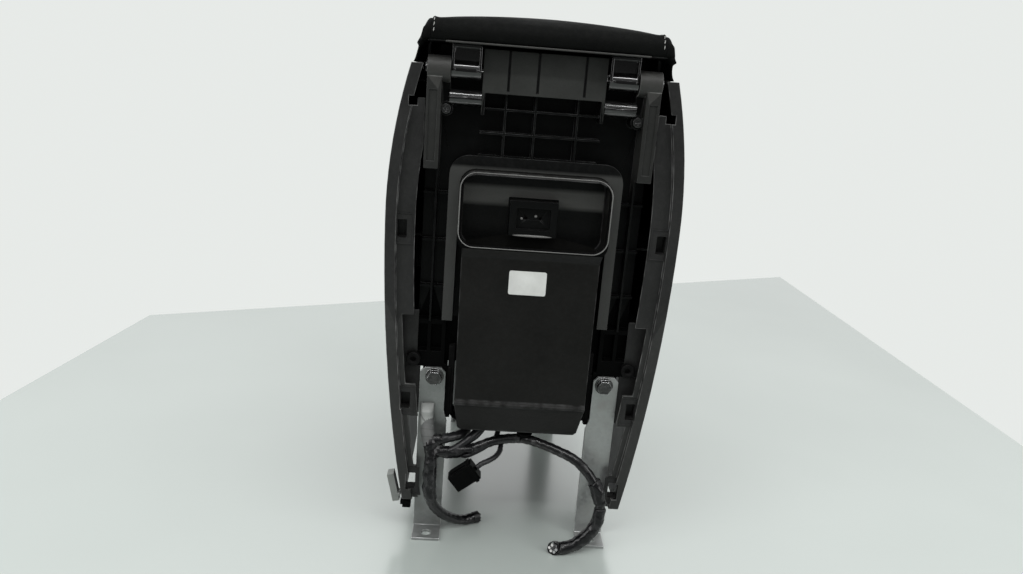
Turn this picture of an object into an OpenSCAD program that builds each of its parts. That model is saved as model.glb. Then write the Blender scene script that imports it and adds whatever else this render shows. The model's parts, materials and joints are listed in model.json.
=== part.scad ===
// Car centre armrest: a storage console with a padded lid, seen with its rear trim taken off.
// Millimetres, +Z up. The origin is on the floor under the middle of the body, the rear faces -Y.

/* [Body] */
// Depth of the side panels, rear edge to front edge
body_d = 300; // [280:1:330]
// Half width across the side panels at their widest
half_w = 120; // [116:1:126]
// Height above the floor where the panels are widest
wide_z = 290; // [275:1:305]
// Height of the panels' top edge
panel_top = 410; // [400:1:420]
// Height of the panels' lower edge at the rear
panel_low = 36; // [30:1:44]
// How far the lower edge rises towards the front
panel_rise = 110; // [90:1:120]
// Length of the level part of the lower edge
panel_level = 130; // [100:1:150]
// Radius of the panels' upper curve
shoulder_r = 450; // [430:1:520]
// Radius of the panels' lower curve
flank_r = 1443; // [1350:1:1700]
// Wall thickness of the panels
panel_t = 2.5; // [2:0.1:3.2]
// Height of the panels' lowest rib above the frame's floor
rib_up = 25; // [20:1:30]
// Spacing of the panels' ribs
rib_pitch = 80; // [70:1:85]

/* [Panel edges] */
// Width of the narrow return at a panel's rear edge
return_w = 9; // [7:0.5:11]
// Depth of the rebate between the return and the clip flange
rebate = 4; // [3:0.5:6]
// Thickness of the clip flange
flange_t = 2; // [1.6:0.1:3]
// Width of the wide upper clip flange, from the outside of the panel
flange_w = 24; // [23:0.5:25.5]
// Width of the narrow lower clip flange
narrow_w = 14; // [12:0.5:16]
// Height where the wide flange begins
flange_low = 207; // [200:1:215]
// Height where the wide flange ends
flange_high = 384; // [370:1:390]
// Width of a trim clip slot
slot_w = 8; // [6:0.5:9]
// Height of a trim clip slot
slot_h = 15; // [11:0.5:17]
// Width of the return at a panel's front edge
front_return = 12; // [8:0.5:15]

/* [Inner frame] */
// Room between the frame's sides and the panels' widest line
side_room = 28.5; // [28:0.5:32]
// Height of the frame's closed floor
frame_low = 160; // [156:1:164]
// Drop from the panels' top edge to the frame's rim
frame_drop = 6; // [5:0.5:8]
// Distance of the frame's rear wall from the rear edge
rear_in = 26; // [25:0.5:30]
// Distance of the frame's front wall from the front edge
front_in = 19; // [17:0.5:24]
// Wall thickness of the frame
wall_t = 2.5; // [2:0.1:3]
// Thickness of the frame's ribs
rib_t = 1.8; // [1.4:0.1:2.4]
// Depth of the ribs on the rear wall
rib_d = 12; // [8:0.5:14]
// Spacing of the short ribs beside the duct
side_rib_pitch = 40; // [36:1:44]
// Height of the raised centre panel
centre_h = 33; // [28:0.5:36]
// Depth of the grooves in the centre panel
groove_d = 0.8; // [0.5:0.1:1.2]

/* [Hinge] */
// Distance of the hinge axis from the rear edge
hinge_in = 10; // [9:0.5:12]
// Drop from the panels' top edge to the hinge axis
hinge_drop = 3; // [2.5:0.5:4]
// Outer radius of the hinge barrels
barrel_r = 10; // [9:0.5:10.5]
// Length of a hinge barrel
barrel_w = 18; // [15:0.5:19]
// Thickness of a hinge post
post_w = 11.5; // [9:0.5:13]
// Length of a hinge post below the axis
post_h = 77; // [60:1:85]
// Radius of the steel hinge pins
pin_r = 3; // [2.5:0.1:4]
// Running clearance round a pin
pin_gap = 0.05; // [0.02:0.01:0.09]
// Width of a lid arm
arm_w = 23; // [20:0.5:24]
// Radius of a lid arm's knuckle
knuckle_r = 7.5; // [6.5:0.5:8.5]
// Gap between the centre panel's cheeks and the lid arms
cheek_gap = 1.5; // [1:0.1:2.5]
// Side clearance between moving hinge faces
side_gap = 0.5; // [0.3:0.1:0.8]
// Radius of the stop bars under the hinge
stop_r = 6.5; // [5:0.5:7]
// Drop from the hinge axis to the stop bars
stop_drop = 21; // [19:0.5:24]

/* [Lid] */
// Overhang of the lid past the panels at the rear and the front
lid_over = 8; // [6:0.5:10]
// How far the lid stands proud of the panels' top edge at each side
lid_proud = 1.5; // [1:0.5:4]
// Gap between the panels and the lid's lower edge
lid_gap = 2; // [1.5:0.5:3]
// Height of the lid at its crown
lid_h = 38; // [36:1:44]
// Rise of the crown above the lid's shoulders
crown = 5.5; // [4:0.5:7]
// Corner radius of the lid's shoulders
lid_r = 10; // [8:1:14]
// How far the lid's sides lean in from their lower edge to the shoulders' middles
lid_lean = 19; // [16:0.5:22]
// Radius of the lid's corners seen from above
lid_corner_r = 16; // [12:1:20]
// Radius of the lid's rear and front edges
lid_end_r = 20; // [14:1:24]
// Thickness of the padding at the sides
pad_t = 5; // [4.5:0.5:6]
// Height of the lid's floor above the panels' top edge
lid_floor_up = 17; // [16:0.5:19]
// Wall thickness of the lid's plastic parts
lid_t = 2.4; // [2:0.1:3]

/* [Bin] */
// Depth of the storage bin below the frame's rim
bin_depth = 200; // [150:1:215]
// Wall thickness of the bin
bin_t = 2.2; // [1.8:0.1:3]
// Thickness of the bin's rim
rim_t = 3; // [2:0.5:4]
// How far the rim reaches past the frame at the sides
rim_side = 5.5; // [3:0.5:7]
// Thickness of the rubber mat in the bin
mat_t = 2; // [1.5:0.5:4]

/* [Air duct] */
// How far the duct's mouth stands out past its body at each side
mouth_out = 4; // [3:0.5:5]
// Height of the duct's upper edge
duct_top = 331; // [325:1:334]
// Height of the mouth
mouth_h = 62; // [54:1:66]
// Gap between the duct's body and the rear legs
duct_gap = 4.5; // [4:0.5:7]
// Height of the ridge near the duct's foot
ridge_z = 134; // [128:1:140]
// Height of the duct's underside
duct_low = 101; // [97:1:106]
// Wall thickness of the duct
duct_t = 2; // [1.6:0.1:2.6]
// Length of the duct's forward leg
duct_run = 100; // [80:1:120]
// Height of the duct's forward leg
duct_leg_h = 40; // [34:1:44]
// Radius of the mouth's corners
mouth_r = 13; // [9:1:15]
// How far the flange round the duct reaches below its upper edge
collar_h = 129; // [120:1:135]
// Width of the flange round the duct
collar_w = 9; // [7:0.5:10]

/* [Legs] */
// Distance of the rear legs' middles from the frame's sides
leg_side = 17; // [15:0.5:19]
// Width of a rear leg
leg_w = 25; // [23:0.5:26]
// Thickness of the steel
steel_t = 2.5; // [2:0.1:3.5]
// Depth of a leg's stiffening flange
leg_flange = 14; // [9:0.5:18]
// Height of the rear legs
leg_h = 157; // [154:0.5:157.5]
// Distance of the rear legs from the rear edge
leg_in = 14; // [12:0.5:16]
// Length of a foot
foot_l = 24; // [21:0.5:24.5]
// Spacing of the front legs, centre to centre
front_gauge = 100; // [90:1:108]
// Distance of the front legs from the front edge
front_leg_in = 50; // [44:1:60]
// Radius of the floor bolt holes
floor_hole_r = 4.5; // [4:0.1:5]
// Shank radius of the leg bolts
bolt_r = 4; // [3:0.1:4.2]
// Drop from a leg's top edge to its bolt
bolt_drop = 8; // [7.5:0.5:9]
// Length of the leg bolts under their flange
bolt_l = 12; // [10:1:13]
// Height of the blocks over the rear legs
block_h = 43; // [38:1:46]
// Height of the rubber pads above the blocks' underside
pad_up = 8; // [7:0.5:12]
// Distance of the rubber pads outwards from the legs' middles
pad_out = 19; // [16:0.5:20]
// Drop from the hinge axis to the frame screws
screw_drop = 30; // [30:0.5:32]
// Distance of the frame screws from the hinge posts
screw_in = 4; // [3.9:0.1:5]
// Distance of the lid arms' screws from the hinge axis
arm_screw = 20; // [18:0.5:24]
// Shank radius of the plastic screws
screw_r = 1.9; // [1.5:0.1:2.2]

/* [Wiring] */
// Diameter of the taped harness on the left
left_d = 9.6; // [8:0.2:10]
// Diameter of the taped harness on the right
right_d = 9; // [8:0.2:9.6]
// Width of the loose lead to the connector
lead_d = 5; // [4:0.2:5.6]
// Bore radius of the rubber grommet under the frame
grommet_r = 5.5; // [5.2:0.1:7]
// Diameter of the taped harness behind the duct
trunk_d = 9; // [8:0.2:9.6]
// Length of the connector's housing
plug_l = 24; // [20:1:24]
// Length of the pale trim clip at the lower left
clip_l = 27; // [22:1:30]

/* [Hidden] */
// Fit clearance where one piece seats on another
seat = 0.3;
// Fine and coarse steps for round stretches
fine = 360;
round_fn = 48;
small_fn = 28;

yr = -body_d / 2;
yf = body_d / 2;
hinge_y = yr + hinge_in;
hinge_z = panel_top - hinge_drop;
frame_hw = half_w - side_room;
frame_top = panel_top - frame_drop;
frame_y0 = yr + rear_in;
frame_y1 = yf - front_in;
slots = [[280, 13.5, flange_w], [130, 13, flange_w - 1.5], [53, 9.8, flange_w - 7.5]];

centre_hw = frame_hw - barrel_w - side_gap - arm_w - cheek_gap;
arm_x0 = centre_hw + cheek_gap;
arm_x1 = arm_x0 + arm_w;
barrel_x0 = arm_x1 + side_gap;
barrel_x1 = barrel_x0 + barrel_w;
post_x0 = barrel_x1 - post_w;
stop_z = hinge_z - stop_drop;

lid_low = panel_top + lid_gap;
lid_top = lid_low + lid_h;
lid_floor = panel_top + lid_floor_up;
lid_hw = half_at(panel_top) + lid_proud;
lid_y0 = yr - lid_over;
lid_y1 = yf + lid_over;
shoulder_z = lid_top - crown;
crown_hw = lid_hw - lid_lean;
lid_side_a = tangent_a([lid_hw - crown_hw, lid_low - shoulder_z + lid_r], lid_r);
base_hw = lid_hw - (lid_floor + lid_t - lid_low) * tan(lid_side_a) - pad_t;
crown_r = (crown_hw * crown_hw + crown * crown) / (2 * crown);

mouth_low = duct_top - mouth_h;
duct_y0 = yr - 6;
duct_y1 = frame_y0 - 1;
leg_x = frame_hw - leg_side;
duct_hw = leg_x - leg_w / 2 - duct_gap;
mouth_hw = duct_hw + mouth_out;
front_x = front_gauge / 2;
leg_y = yr + leg_in;
front_leg_y = yf - front_leg_in;
bolt_z = leg_h - bolt_drop;
lug_drop = 11;
front_top = frame_low - seat;
front_bolt_z = front_top - bolt_drop;
foot_hole_y = -foot_l / 2;

// Routes of the harness, point by point.
left_route = [[-79, -141.1, 119.5], [-79, -141.3, 114.5], [-78.6, -142.8, 109], [-77.8, -146, 103.5],
    [-76.4, -149.6, 97], [-74.6, -152.4, 91], [-73, -154.6, 84], [-73, -158, 68], [-73, -158, 51],
    [-70, -154, 36], [-62, -146, 22], [-51, -137, 11], [-40, -129, 5.2], [-30, -124, 5.2]];
trunk_route = [[-69.5, -150, 95.5], [-60, -146, 96], [-50, -138, 95.5], [-44, -127, 95], [-45, -114, 96],
    [-55, -103, 99], [-64, -96, 108], [-69, -91, 124], [-70, -90, 140], [-70, -90, 155], [-70, -90, 168]];
right_route = [[-67, -151, 85], [-57, -149, 84], [-45, -146, 84.5], [-33, -142, 87], [-20, -138, 91],
    [-6, -136, 93.5], [8, -136, 94], [22, -141, 93], [38, -148, 90], [53, -154, 85], [65, -158, 75],
    [74, -161, 61], [78, -162, 46], [77, -163, 31], [70, -164, 18], [60, -165, 9], [49, -166, 5],
    [41, -167, 5]];
lead_route = [[-12, -133, 86.5], [-13, -139, 82.5], [-17, -146, 80], [-23, -151, 78.5],
    [-28.5, -154, 77], [-33, -156, 74]];
grommet_x = leg_side + 4.5 - frame_hw;
grommet_y = -90;
clip_x = 8;
clip_y = -136;
plug_at = [-43, -156, 66];

// Half width of the body at a height, outside the panels.
function half_at(z) = let (r = z > wide_z ? shoulder_r : flank_r)
    half_w - r + sqrt(r * r - (z - wide_z) * (z - wide_z));

// Angle at which a line from p just touches a circle of radius r round the origin, on the far side.
function tangent_a(p, r) = atan2(p[1], p[0]) + acos(r / norm(p));

// Unit vector along v.
function unit(v) = v / norm(v);

// Directions of a route at its points.
function heading(p) = let (n = len(p) - 1)
    [for (i = [0 : n]) unit(p[min(i + 1, n)] - p[max(i - 1, 0)])];

// A side direction at each point, carried along the route without twisting.
function sideways(t) = [for (i = 0, u = unit(cross(t[0], [0.3, 1, 0.2])); i < len(t);
    i = i + 1, u = i < len(t) ? unit(u - t[i] * (t[i] * u)) : u) u];

// A block between two opposite corners.
module block(a, b) {
    translate(a) cube(b - a);
}

// A section drawn in X and Z, drawn out along Y.
module along_y(y0, y1) {
    translate([0, y1, 0]) rotate([90, 0, 0]) linear_extrude(y1 - y0) children();
}

// A section drawn in Y and Z, drawn out along X.
module along_x(x0, x1) {
    translate([x0, 0, 0]) rotate([90, 0, 90]) linear_extrude(x1 - x0) children();
}

// A section drawn in X and Y, drawn up along Z.
module along_z(z0, z1) {
    translate([0, 0, z0]) linear_extrude(z1 - z0) children();
}

// A round bar along X.
module bar_x(x0, x1, y, z, r) {
    translate([x0, y, z]) rotate([0, 90, 0]) cylinder(h = x1 - x0, r = r, $fn = round_fn);
}

// A round bar along Y.
module bar_y(x, y0, y1, z, r, n = small_fn) {
    translate([x, y0, z]) rotate([-90, 0, 0]) cylinder(h = y1 - y0, r = r, $fn = n);
}

// A rectangle with all four corners rounded.
module soft_rect(x0, y0, x1, y1, r) {
    translate([x0 + r, y0]) square([x1 - x0 - 2 * r, y1 - y0]);
    translate([x0, y0 + r]) square([x1 - x0, y1 - y0 - 2 * r]);
    for (x = [x0 + r, x1 - r]) {
        for (y = [y0 + r, y1 - r]) {
            translate([x, y]) circle(r = r, $fn = round_fn);
        }
    }
}

// The right half of the body's section, taken in by t from the outer curve.
module flank(t) {
    intersection() {
        translate([half_w - shoulder_r, wide_z]) circle(r = shoulder_r - t, $fn = fine / 2);
        translate([0, wide_z]) square([half_w, panel_top - wide_z]);
    }
    intersection() {
        translate([half_w - flank_r, wide_z]) circle(r = flank_r - t, $fn = fine);
        translate([0, panel_low]) square([half_w, wide_z - panel_low]);
    }
}

// A band of the section between two depths and two heights.
module band(t0, t1, z0, z1) {
    intersection() {
        difference() {
            flank(t0);
            flank(t1);
        }
        translate([0, z0]) square([half_w, z1 - z0]);
    }
}

// Side view of a panel, drawn in Y and Z.
module panel_outline() {
    polygon([[yr, panel_low], [yr + panel_level, panel_low], [yf, panel_low + panel_rise],
        [yf, panel_top], [yr, panel_top]]);
}

// One side panel, drawn for the right side.
module panel_half() {
    flange_y = yr + rebate;
    difference() {
        intersection() {
            union() {
                along_y(yr, yf) band(0, panel_t, panel_low, panel_top);
                along_y(yr, yr + flange_t) band(panel_t / 2, return_w, panel_low, panel_top);
                along_y(yr, flange_y + flange_t) band(return_w - flange_t, return_w, panel_low, flange_high);
                along_y(flange_y, flange_y + flange_t)
                    band(return_w - flange_t, flange_w, flange_low, flange_high);
                along_y(flange_y, flange_y + flange_t)
                    band(return_w - flange_t, narrow_w, panel_low, flange_low);
                for (s = slots) {
                    along_y(flange_y, flange_y + flange_t)
                        band(return_w - flange_t, s[2], s[0] - slot_h, s[0] + slot_h);
                }
                along_y(yf - panel_t, yf) band(panel_t / 2, front_return, panel_low, panel_top);
                for (z = [for (k = [0 : 2]) frame_low + rib_up + k * rib_pitch, frame_top - 8]) {
                    along_y(yr + 2 * rear_in, yf - front_in - rear_in) difference() {
                        band(panel_t / 2, half_w, z, z + rib_t);
                        square([frame_hw + seat, panel_top]);
                    }
                }
            }
            along_x(0, half_w) panel_outline();
        }
        for (s = slots) {
            x = half_at(s[0]) - s[1];
            block([x - slot_w / 2, yr - 1, s[0] - slot_h / 2], [x + slot_w / 2, flange_y + 2 * flange_t, s[0] + slot_h / 2]);
        }
        // Room for the hinge post beside the clip flange.
        block([0, yr - 1, hinge_z - post_h - seat], [barrel_x1 + seat, flange_y + 2 * flange_t, panel_top + 1]);
        // Notch between the upper return and the clip flange.
        x = half_at(flange_high) - return_w;
        block([x - 3, yr - 1, flange_high - 6], [x + 3.5, flange_y + 2 * flange_t, flange_high + 1]);
    }
}

module side_panel_right() {
    color([0.09, 0.09, 0.09]) panel_half();
}

module side_panel_left() {
    color([0.09, 0.09, 0.09]) mirror([1, 0, 0]) panel_half();
}

// Plain cover across the front, behind the panels' front returns.
module front_trim() {
    y1 = yf - panel_t - seat;
    color([0.09, 0.09, 0.09]) for (m = [0, 1]) {
        mirror([m, 0, 0]) along_y(y1 - panel_t, y1) intersection() {
            flank(panel_t + seat);
            translate([0, panel_low + panel_rise + 6]) square([half_w, half_w * 4]);
            square([half_w, frame_top - seat]);
        }
    }
}

// Post, barrel and web that carry one hinge pin, right side.
module hinge_post() {
    difference() {
        union() {
            block([post_x0, hinge_y - 8, hinge_z - post_h], [barrel_x1, frame_y0 + wall_t, hinge_z]);
            block([barrel_x0, hinge_y + 2, stop_z - 12], [post_x0 + 1, frame_y0 + wall_t, hinge_z - 4]);
            bar_x(barrel_x0, barrel_x1, hinge_y, hinge_z, barrel_r);
            bar_y(post_x0 - screw_in, hinge_y - 3, frame_y0 + 1, hinge_z - screw_drop, 5.5);
        }
        bar_x(arm_x0, barrel_x1 + 1, hinge_y, hinge_z, pin_r + pin_gap);
        bar_y(post_x0 - screw_in, hinge_y - 4, frame_y0 - 2, hinge_z - screw_drop, screw_r + pin_gap);
        bar_x(centre_hw, barrel_x0, hinge_y, stop_z, stop_r + pin_gap);
        // Shallow relief down the post's rear face.
        block([post_x0 + 3, hinge_y - 9, hinge_z - post_h + 6], [barrel_x1 - 2, hinge_y - 7, hinge_z - 16]);
    }
}

// Block and lug that take the top of one rear leg, right side.
module leg_block() {
    y0 = leg_y + steel_t;
    difference() {
        union() {
            block([leg_x - 7.5, y0, leg_h], [leg_x + leg_w - 0.5, y0 + 26, leg_h + block_h]);
            block([leg_x - leg_w / 2 + 2, y0, bolt_z - lug_drop], [leg_x + leg_w / 2 - 2, y0 + 16, leg_h + 3]);
        }
        bar_y(leg_x, y0 - 1, y0 + 15, bolt_z, bolt_r + pin_gap);
        // Hollows in the moulded block.
        for (x = [leg_x - 4, leg_x + 8]) {
            block([x, y0 - 1, leg_h + block_h / 3], [x + 9, y0 + 20, leg_h + block_h - 4]);
        }
    }
}

// Lug for the top of one front leg, right side.
module front_lug() {
    difference() {
        block([front_x - leg_w / 2 + 2, front_leg_y - 16, front_bolt_z - lug_drop], [front_x + leg_w / 2 - 2, front_leg_y, frame_low + 1]);
        bar_y(front_x, front_leg_y - 15, front_leg_y + 1, front_bolt_z, bolt_r + pin_gap);
    }
}

// The U-shaped flange that the duct stands in, with its wall back to the frame.
module collar() {
    out = mouth_hw + seat + collar_w;
    in = mouth_hw + seat;
    y0 = yr + 10;
    module ring(o, i, low) {
        difference() {
            intersection() {
                soft_rect(-o, low - 30, o, duct_top + 2 + o - i, mouth_r + 3);
                translate([-o, low]) square([2 * o, duct_top]);
            }
            intersection() {
                soft_rect(-i, low - mouth_h, i, duct_top + seat, mouth_r);
                square([3 * o, 3 * duct_top], center = true);
            }
        }
    }
    along_y(y0, y0 + flange_t) ring(out, in, duct_top - collar_h);
    along_y(y0, frame_y0 + 1) ring(in + rib_t, in, duct_top - collar_h);
    along_y(y0, frame_y0 + 1) ring(out, out - rib_t, duct_top - collar_h);
}

// Raised panel between the hinges, with its cheeks and three grooves.
module centre_panel() {
    z1 = lid_floor - 3;
    z0 = z1 - centre_h;
    y0 = hinge_y - 2;
    difference() {
        block([-centre_hw, y0, z0], [centre_hw, y0 + wall_t, z1]);
        for (x = [-29, -6, 31]) {
            block([x, y0 - 1, z0 - 1], [x + 1.4, y0 + groove_d, z1 + 1]);
        }
    }
    block([-centre_hw, y0, z0], [centre_hw, frame_y0 + 1, z0 + wall_t]);
    for (m = [0, 1]) {
        mirror([m, 0, 0]) {
            block([centre_hw - wall_t, y0, stop_z - 12], [centre_hw, frame_y0 + 1, frame_top]);
            block([centre_hw - wall_t, y0, frame_top - 1], [centre_hw, y0 + 8, z1]);
        }
    }
}

// Ribs that stiffen the recessed rear wall under the centre panel.
module wall_ribs() {
    z1 = lid_floor - 3 - centre_h;
    for (x = [-30, -6, 28]) {
        block([x, frame_y0 - rib_d, duct_top + 9], [x + rib_t, frame_y0 + 1, z1 + 1]);
    }
    for (z = [duct_top + 9, duct_top + 28, duct_top + 47]) {
        block([-centre_hw, frame_y0 - rib_d, z], [centre_hw, frame_y0 + 1, z + rib_t]);
    }
    for (m = [0, 1]) {
        mirror([m, 0, 0]) {
            for (k = [1 : 3]) {
                z = leg_h + block_h + side_rib_pitch * (k - 0.3);
                block([mouth_hw + collar_w, frame_y0 - rib_d / 2, z], [frame_hw, frame_y0 + 1, z + rib_t]);
            }
            block([post_x0, frame_y0 - rib_d, leg_h + block_h - 1], [post_x0 + rib_t, frame_y0 + 1, hinge_z - post_h + 1]);
        }
    }
}

module inner_frame() {
    color([0.12, 0.12, 0.12]) {
        difference() {
            block([-frame_hw, frame_y0, frame_low], [frame_hw, frame_y1, frame_top]);
            block([wall_t - frame_hw, frame_y0 + wall_t, frame_low + wall_t],
                [frame_hw - wall_t, frame_y1 - wall_t, frame_top + 1]);
            translate([grommet_x, grommet_y, frame_low - 1])
                cylinder(h = wall_t + 2, r = grommet_r + 2 + seat, $fn = round_fn);
        }
        for (m = [0, 1]) {
            mirror([m, 0, 0]) {
                hinge_post();
                leg_block();
                front_lug();
            }
        }
        collar();
        centre_panel();
        wall_ribs();
    }
}

// Bin that hangs in the frame by its rim.
module storage_bin() {
    x1 = frame_hw - wall_t - side_gap;
    y0 = frame_y0 + wall_t + side_gap;
    y1 = frame_y1 - wall_t - side_gap;
    z0 = frame_top - bin_depth;
    rim_x = frame_hw + rim_side;
    color([0.1, 0.1, 0.1]) difference() {
        union() {
            along_z(z0, frame_top + rim_t) soft_rect(-x1, y0, x1, y1, 8);
            along_z(frame_top, frame_top + rim_t) soft_rect(-rim_x, frame_y0, rim_x, yf - 3, 8);
        }
        along_z(z0 + bin_t, frame_top + rim_t + 1)
            soft_rect(bin_t - x1, y0 + bin_t, x1 - bin_t, y1 - bin_t, 6);
        // Notches round the hinge posts.
        for (m = [0, 1]) {
            mirror([m, 0, 0]) block([barrel_x0 - seat, frame_y0 - 1, frame_top - 1],
                [rim_x + 1, frame_y0 + wall_t + seat, frame_top + rim_t + 1]);
        }
    }
}

// Loose rubber mat on the bin's floor.
module bin_mat() {
    x1 = frame_hw - wall_t - side_gap - bin_t - 1;
    y0 = frame_y0 + wall_t + side_gap + bin_t + 1;
    y1 = frame_y1 - wall_t - side_gap - bin_t - 1;
    z0 = frame_top - bin_depth + bin_t;
    color([0.05, 0.05, 0.05]) difference() {
        along_z(z0, z0 + mat_t) soft_rect(-x1, y0, x1, y1, 5);
        for (y = [y0 + 12 : 12 : y1 - 12]) {
            block([10 - x1, y - 1, z0 + mat_t - 0.6], [x1 - 10, y + 1, z0 + mat_t + 1]);
        }
    }
}

// Outline of the duct from the side, in Y and Z, taken in by t.
module duct_side(t) {
    offset(delta = -t) polygon([[duct_y0 + 5, duct_top], [duct_y0, duct_top - 6], [duct_y0, mouth_low],
        [duct_y0 + 5, mouth_low - 8], [yr - 8, ridge_z + 4], [yr - 9.5, ridge_z + 2], [yr - 9.5, ridge_z],
        [yr - 7, ridge_z - 3], [yr + 2, duct_low + 5], [yr + 12, duct_low],
        [yr + duct_run, duct_low], [yr + duct_run, duct_low + duct_leg_h],
        [duct_y1 + 6, duct_low + duct_leg_h], [duct_y1, duct_low + duct_leg_h + 8], [duct_y1, duct_top]]);
}

// Outline of the duct from behind, in X and Z, taken in by t.
module duct_back(t) {
    side = [[duct_hw, mouth_low + 20], [duct_hw - 1.5, ridge_z], [duct_hw - 5, duct_low + 8],
        [duct_hw - 12, duct_low]];
    soft_rect(t - mouth_hw, mouth_low - 4 + t, mouth_hw - t, duct_top - t, mouth_r - t);
    offset(delta = -t) polygon(concat(side, [for (i = [3 : -1 : 0]) [-side[i][0], side[i][1]]]));
}

// Blow-moulded duct: mouth at the top, flat body, and a leg forward under the frame.
module air_duct() {
    lip = duct_t + 1;
    boss_z = mouth_low + 24;
    color([0.1, 0.1, 0.1]) difference() {
        union() {
            difference() {
                intersection() {
                    along_x(-half_w, half_w) duct_side(0);
                    along_y(yr - leg_in, yf) duct_back(0);
                }
                intersection() {
                    along_x(-half_w, half_w) duct_side(duct_t);
                    along_y(yr - leg_in, yf) duct_back(duct_t);
                }
                // Mouth, open to the rear.
                along_y(duct_y0 - 1, duct_y0 + duct_t + 5)
                    soft_rect(lip - mouth_hw, mouth_low + lip, mouth_hw - lip, duct_top - lip, mouth_r - lip);
                // Open end of the forward leg.
                along_y(yr + duct_run - 2 * duct_t, yr + duct_run + 1) translate([duct_t + 12 - duct_hw, duct_low + duct_t])
                    square([2 * (duct_hw - duct_t - 12), duct_leg_h - 2 * duct_t]);
            }
            // Boss moulded on the inner wall of the mouth.
            block([-20, duct_y1 - 14, boss_z - 15], [20, duct_y1 - duct_t / 2, boss_z + 15]);
        }
        block([-14, duct_y1 - 15, boss_z - 9], [14, duct_y1 - 9, boss_z + 9]);
        for (x = [-6, 6]) {
            bar_y(x, duct_y1 - 10, duct_y1 - 6, boss_z, 1.4, 16);
        }
    }
}

// Place for a label on the duct's rear face.
module duct_label() {
    slope = atan((yr - 8 - duct_y0 - 5) / (mouth_low - 8 - ridge_z - 4));
    color([0.85, 0.85, 0.85]) translate([-1.5, duct_y0 + 5, mouth_low - 8]) rotate([slope, 0, 0])
        block([-15.5, -0.4, -29], [15.5, 0, -9]);
}

// A floor leg of bent steel: web, stiffening flange and foot. Its foot points to -Y.
module leg(top) {
    r = 4;
    y1 = steel_t;
    difference() {
        union() {
            along_y(0, y1) difference() {
                union() {
                    translate([-leg_w / 2, 0]) square([leg_w, top - 50]);
                    polygon([[-leg_w / 2, top - 51], [-leg_w / 2 + 3, top - 40], [-leg_w / 2 + 3, top - r],
                        [-leg_w / 2 + 3 + r, top], [leg_w / 2 - r, top], [leg_w / 2, top - r], [leg_w / 2, top - 51]]);
                }
                translate([0, top - bolt_drop]) circle(r = bolt_r + pin_gap, $fn = small_fn);
            }
            block([leg_w / 2 - steel_t, 0, 0], [leg_w / 2, leg_flange, top - 22]);
            difference() {
                block([-leg_w / 2, steel_t - foot_l, 0], [leg_w / 2, y1, steel_t]);
                translate([0, foot_hole_y, -1]) cylinder(h = steel_t + 2, r = floor_hole_r, $fn = small_fn);
            }
        }
        // Stiffening swage pressed into the web.
        block([-2, y1 - 1, 0.7 * leg_w], [2, y1 + 1, top - 2.4 * leg_w]);
    }
}

module rear_leg_right() {
    color([0.75, 0.76, 0.77]) translate([leg_x, leg_y, 0]) leg(leg_h);
}

module rear_leg_left() {
    color([0.75, 0.76, 0.77]) mirror([1, 0, 0]) translate([leg_x, leg_y, 0]) leg(leg_h);
}

module front_leg_right() {
    color([0.75, 0.76, 0.77]) translate([front_x, front_leg_y + steel_t, 0]) mirror([0, 1, 0])
        front_leg_shape();
}

module front_leg_left() {
    color([0.75, 0.76, 0.77]) mirror([1, 0, 0]) translate([front_x, front_leg_y + steel_t, 0])
        mirror([0, 1, 0]) front_leg_shape();
}

// A front leg is the same pressing, with its top under the frame's floor.
module front_leg_shape() {
    leg(front_top);
}

// Flanged hexagon bolt along Y, its head towards -Y, with the seat at y = 0.
module bolt(length) {
    bar_y(0, -1.2, 0, 0, 2 * bolt_r, small_fn);
    translate([0, -6, 0]) rotate([-90, 0, 0]) cylinder(h = 5, r = 1.65 * bolt_r, $fn = 6);
    bar_y(0, -0.5, length, 0, bolt_r, small_fn);
}

module rear_leg_bolts() {
    color([0.6, 0.6, 0.62]) for (s = [-1, 1]) {
        translate([s * leg_x, leg_y, bolt_z]) bolt(bolt_l);
    }
}

module front_leg_bolts() {
    color([0.6, 0.6, 0.62]) for (s = [-1, 1]) {
        translate([s * front_x, front_leg_y + steel_t, front_bolt_z]) mirror([0, 1, 0]) bolt(bolt_l);
    }
}

// Rubber pads on the outer corners of the leg blocks.
module leg_pads() {
    y1 = leg_y + steel_t;
    color([0.05, 0.05, 0.05]) for (s = [-1, 1]) {
        translate([s * (leg_x + pad_out), y1, leg_h + pad_up]) rotate([90, 0, 0]) difference() {
            cylinder(h = 6, r = 6, $fn = small_fn);
            translate([0, 0, 3]) cylinder(h = 4, r = 2.5, $fn = small_fn);
        }
    }
}

// Steel pin through one barrel and one knuckle, right side.
module pin_half() {
    bar_x(arm_x0 + 2, barrel_x1, hinge_y, hinge_z, pin_r);
    bar_x(barrel_x1 + seat / 3, barrel_x1 + 1.6, hinge_y, hinge_z, pin_r + 1.5);
    bar_x(barrel_x1 - 1, barrel_x1 + 1, hinge_y, hinge_z, pin_r);
}

module hinge_pin_right() {
    color([0.7, 0.7, 0.7]) pin_half();
}

module hinge_pin_left() {
    color([0.7, 0.7, 0.7]) mirror([1, 0, 0]) pin_half();
}

// Glossy stop bar between a cheek and a post, right side.
module stop_half() {
    bar_x(centre_hw, barrel_x0, hinge_y, stop_z, stop_r);
}

module stop_bar_right() {
    color([0.03, 0.03, 0.03]) stop_half();
}

module stop_bar_left() {
    color([0.03, 0.03, 0.03]) mirror([1, 0, 0]) stop_half();
}

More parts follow.
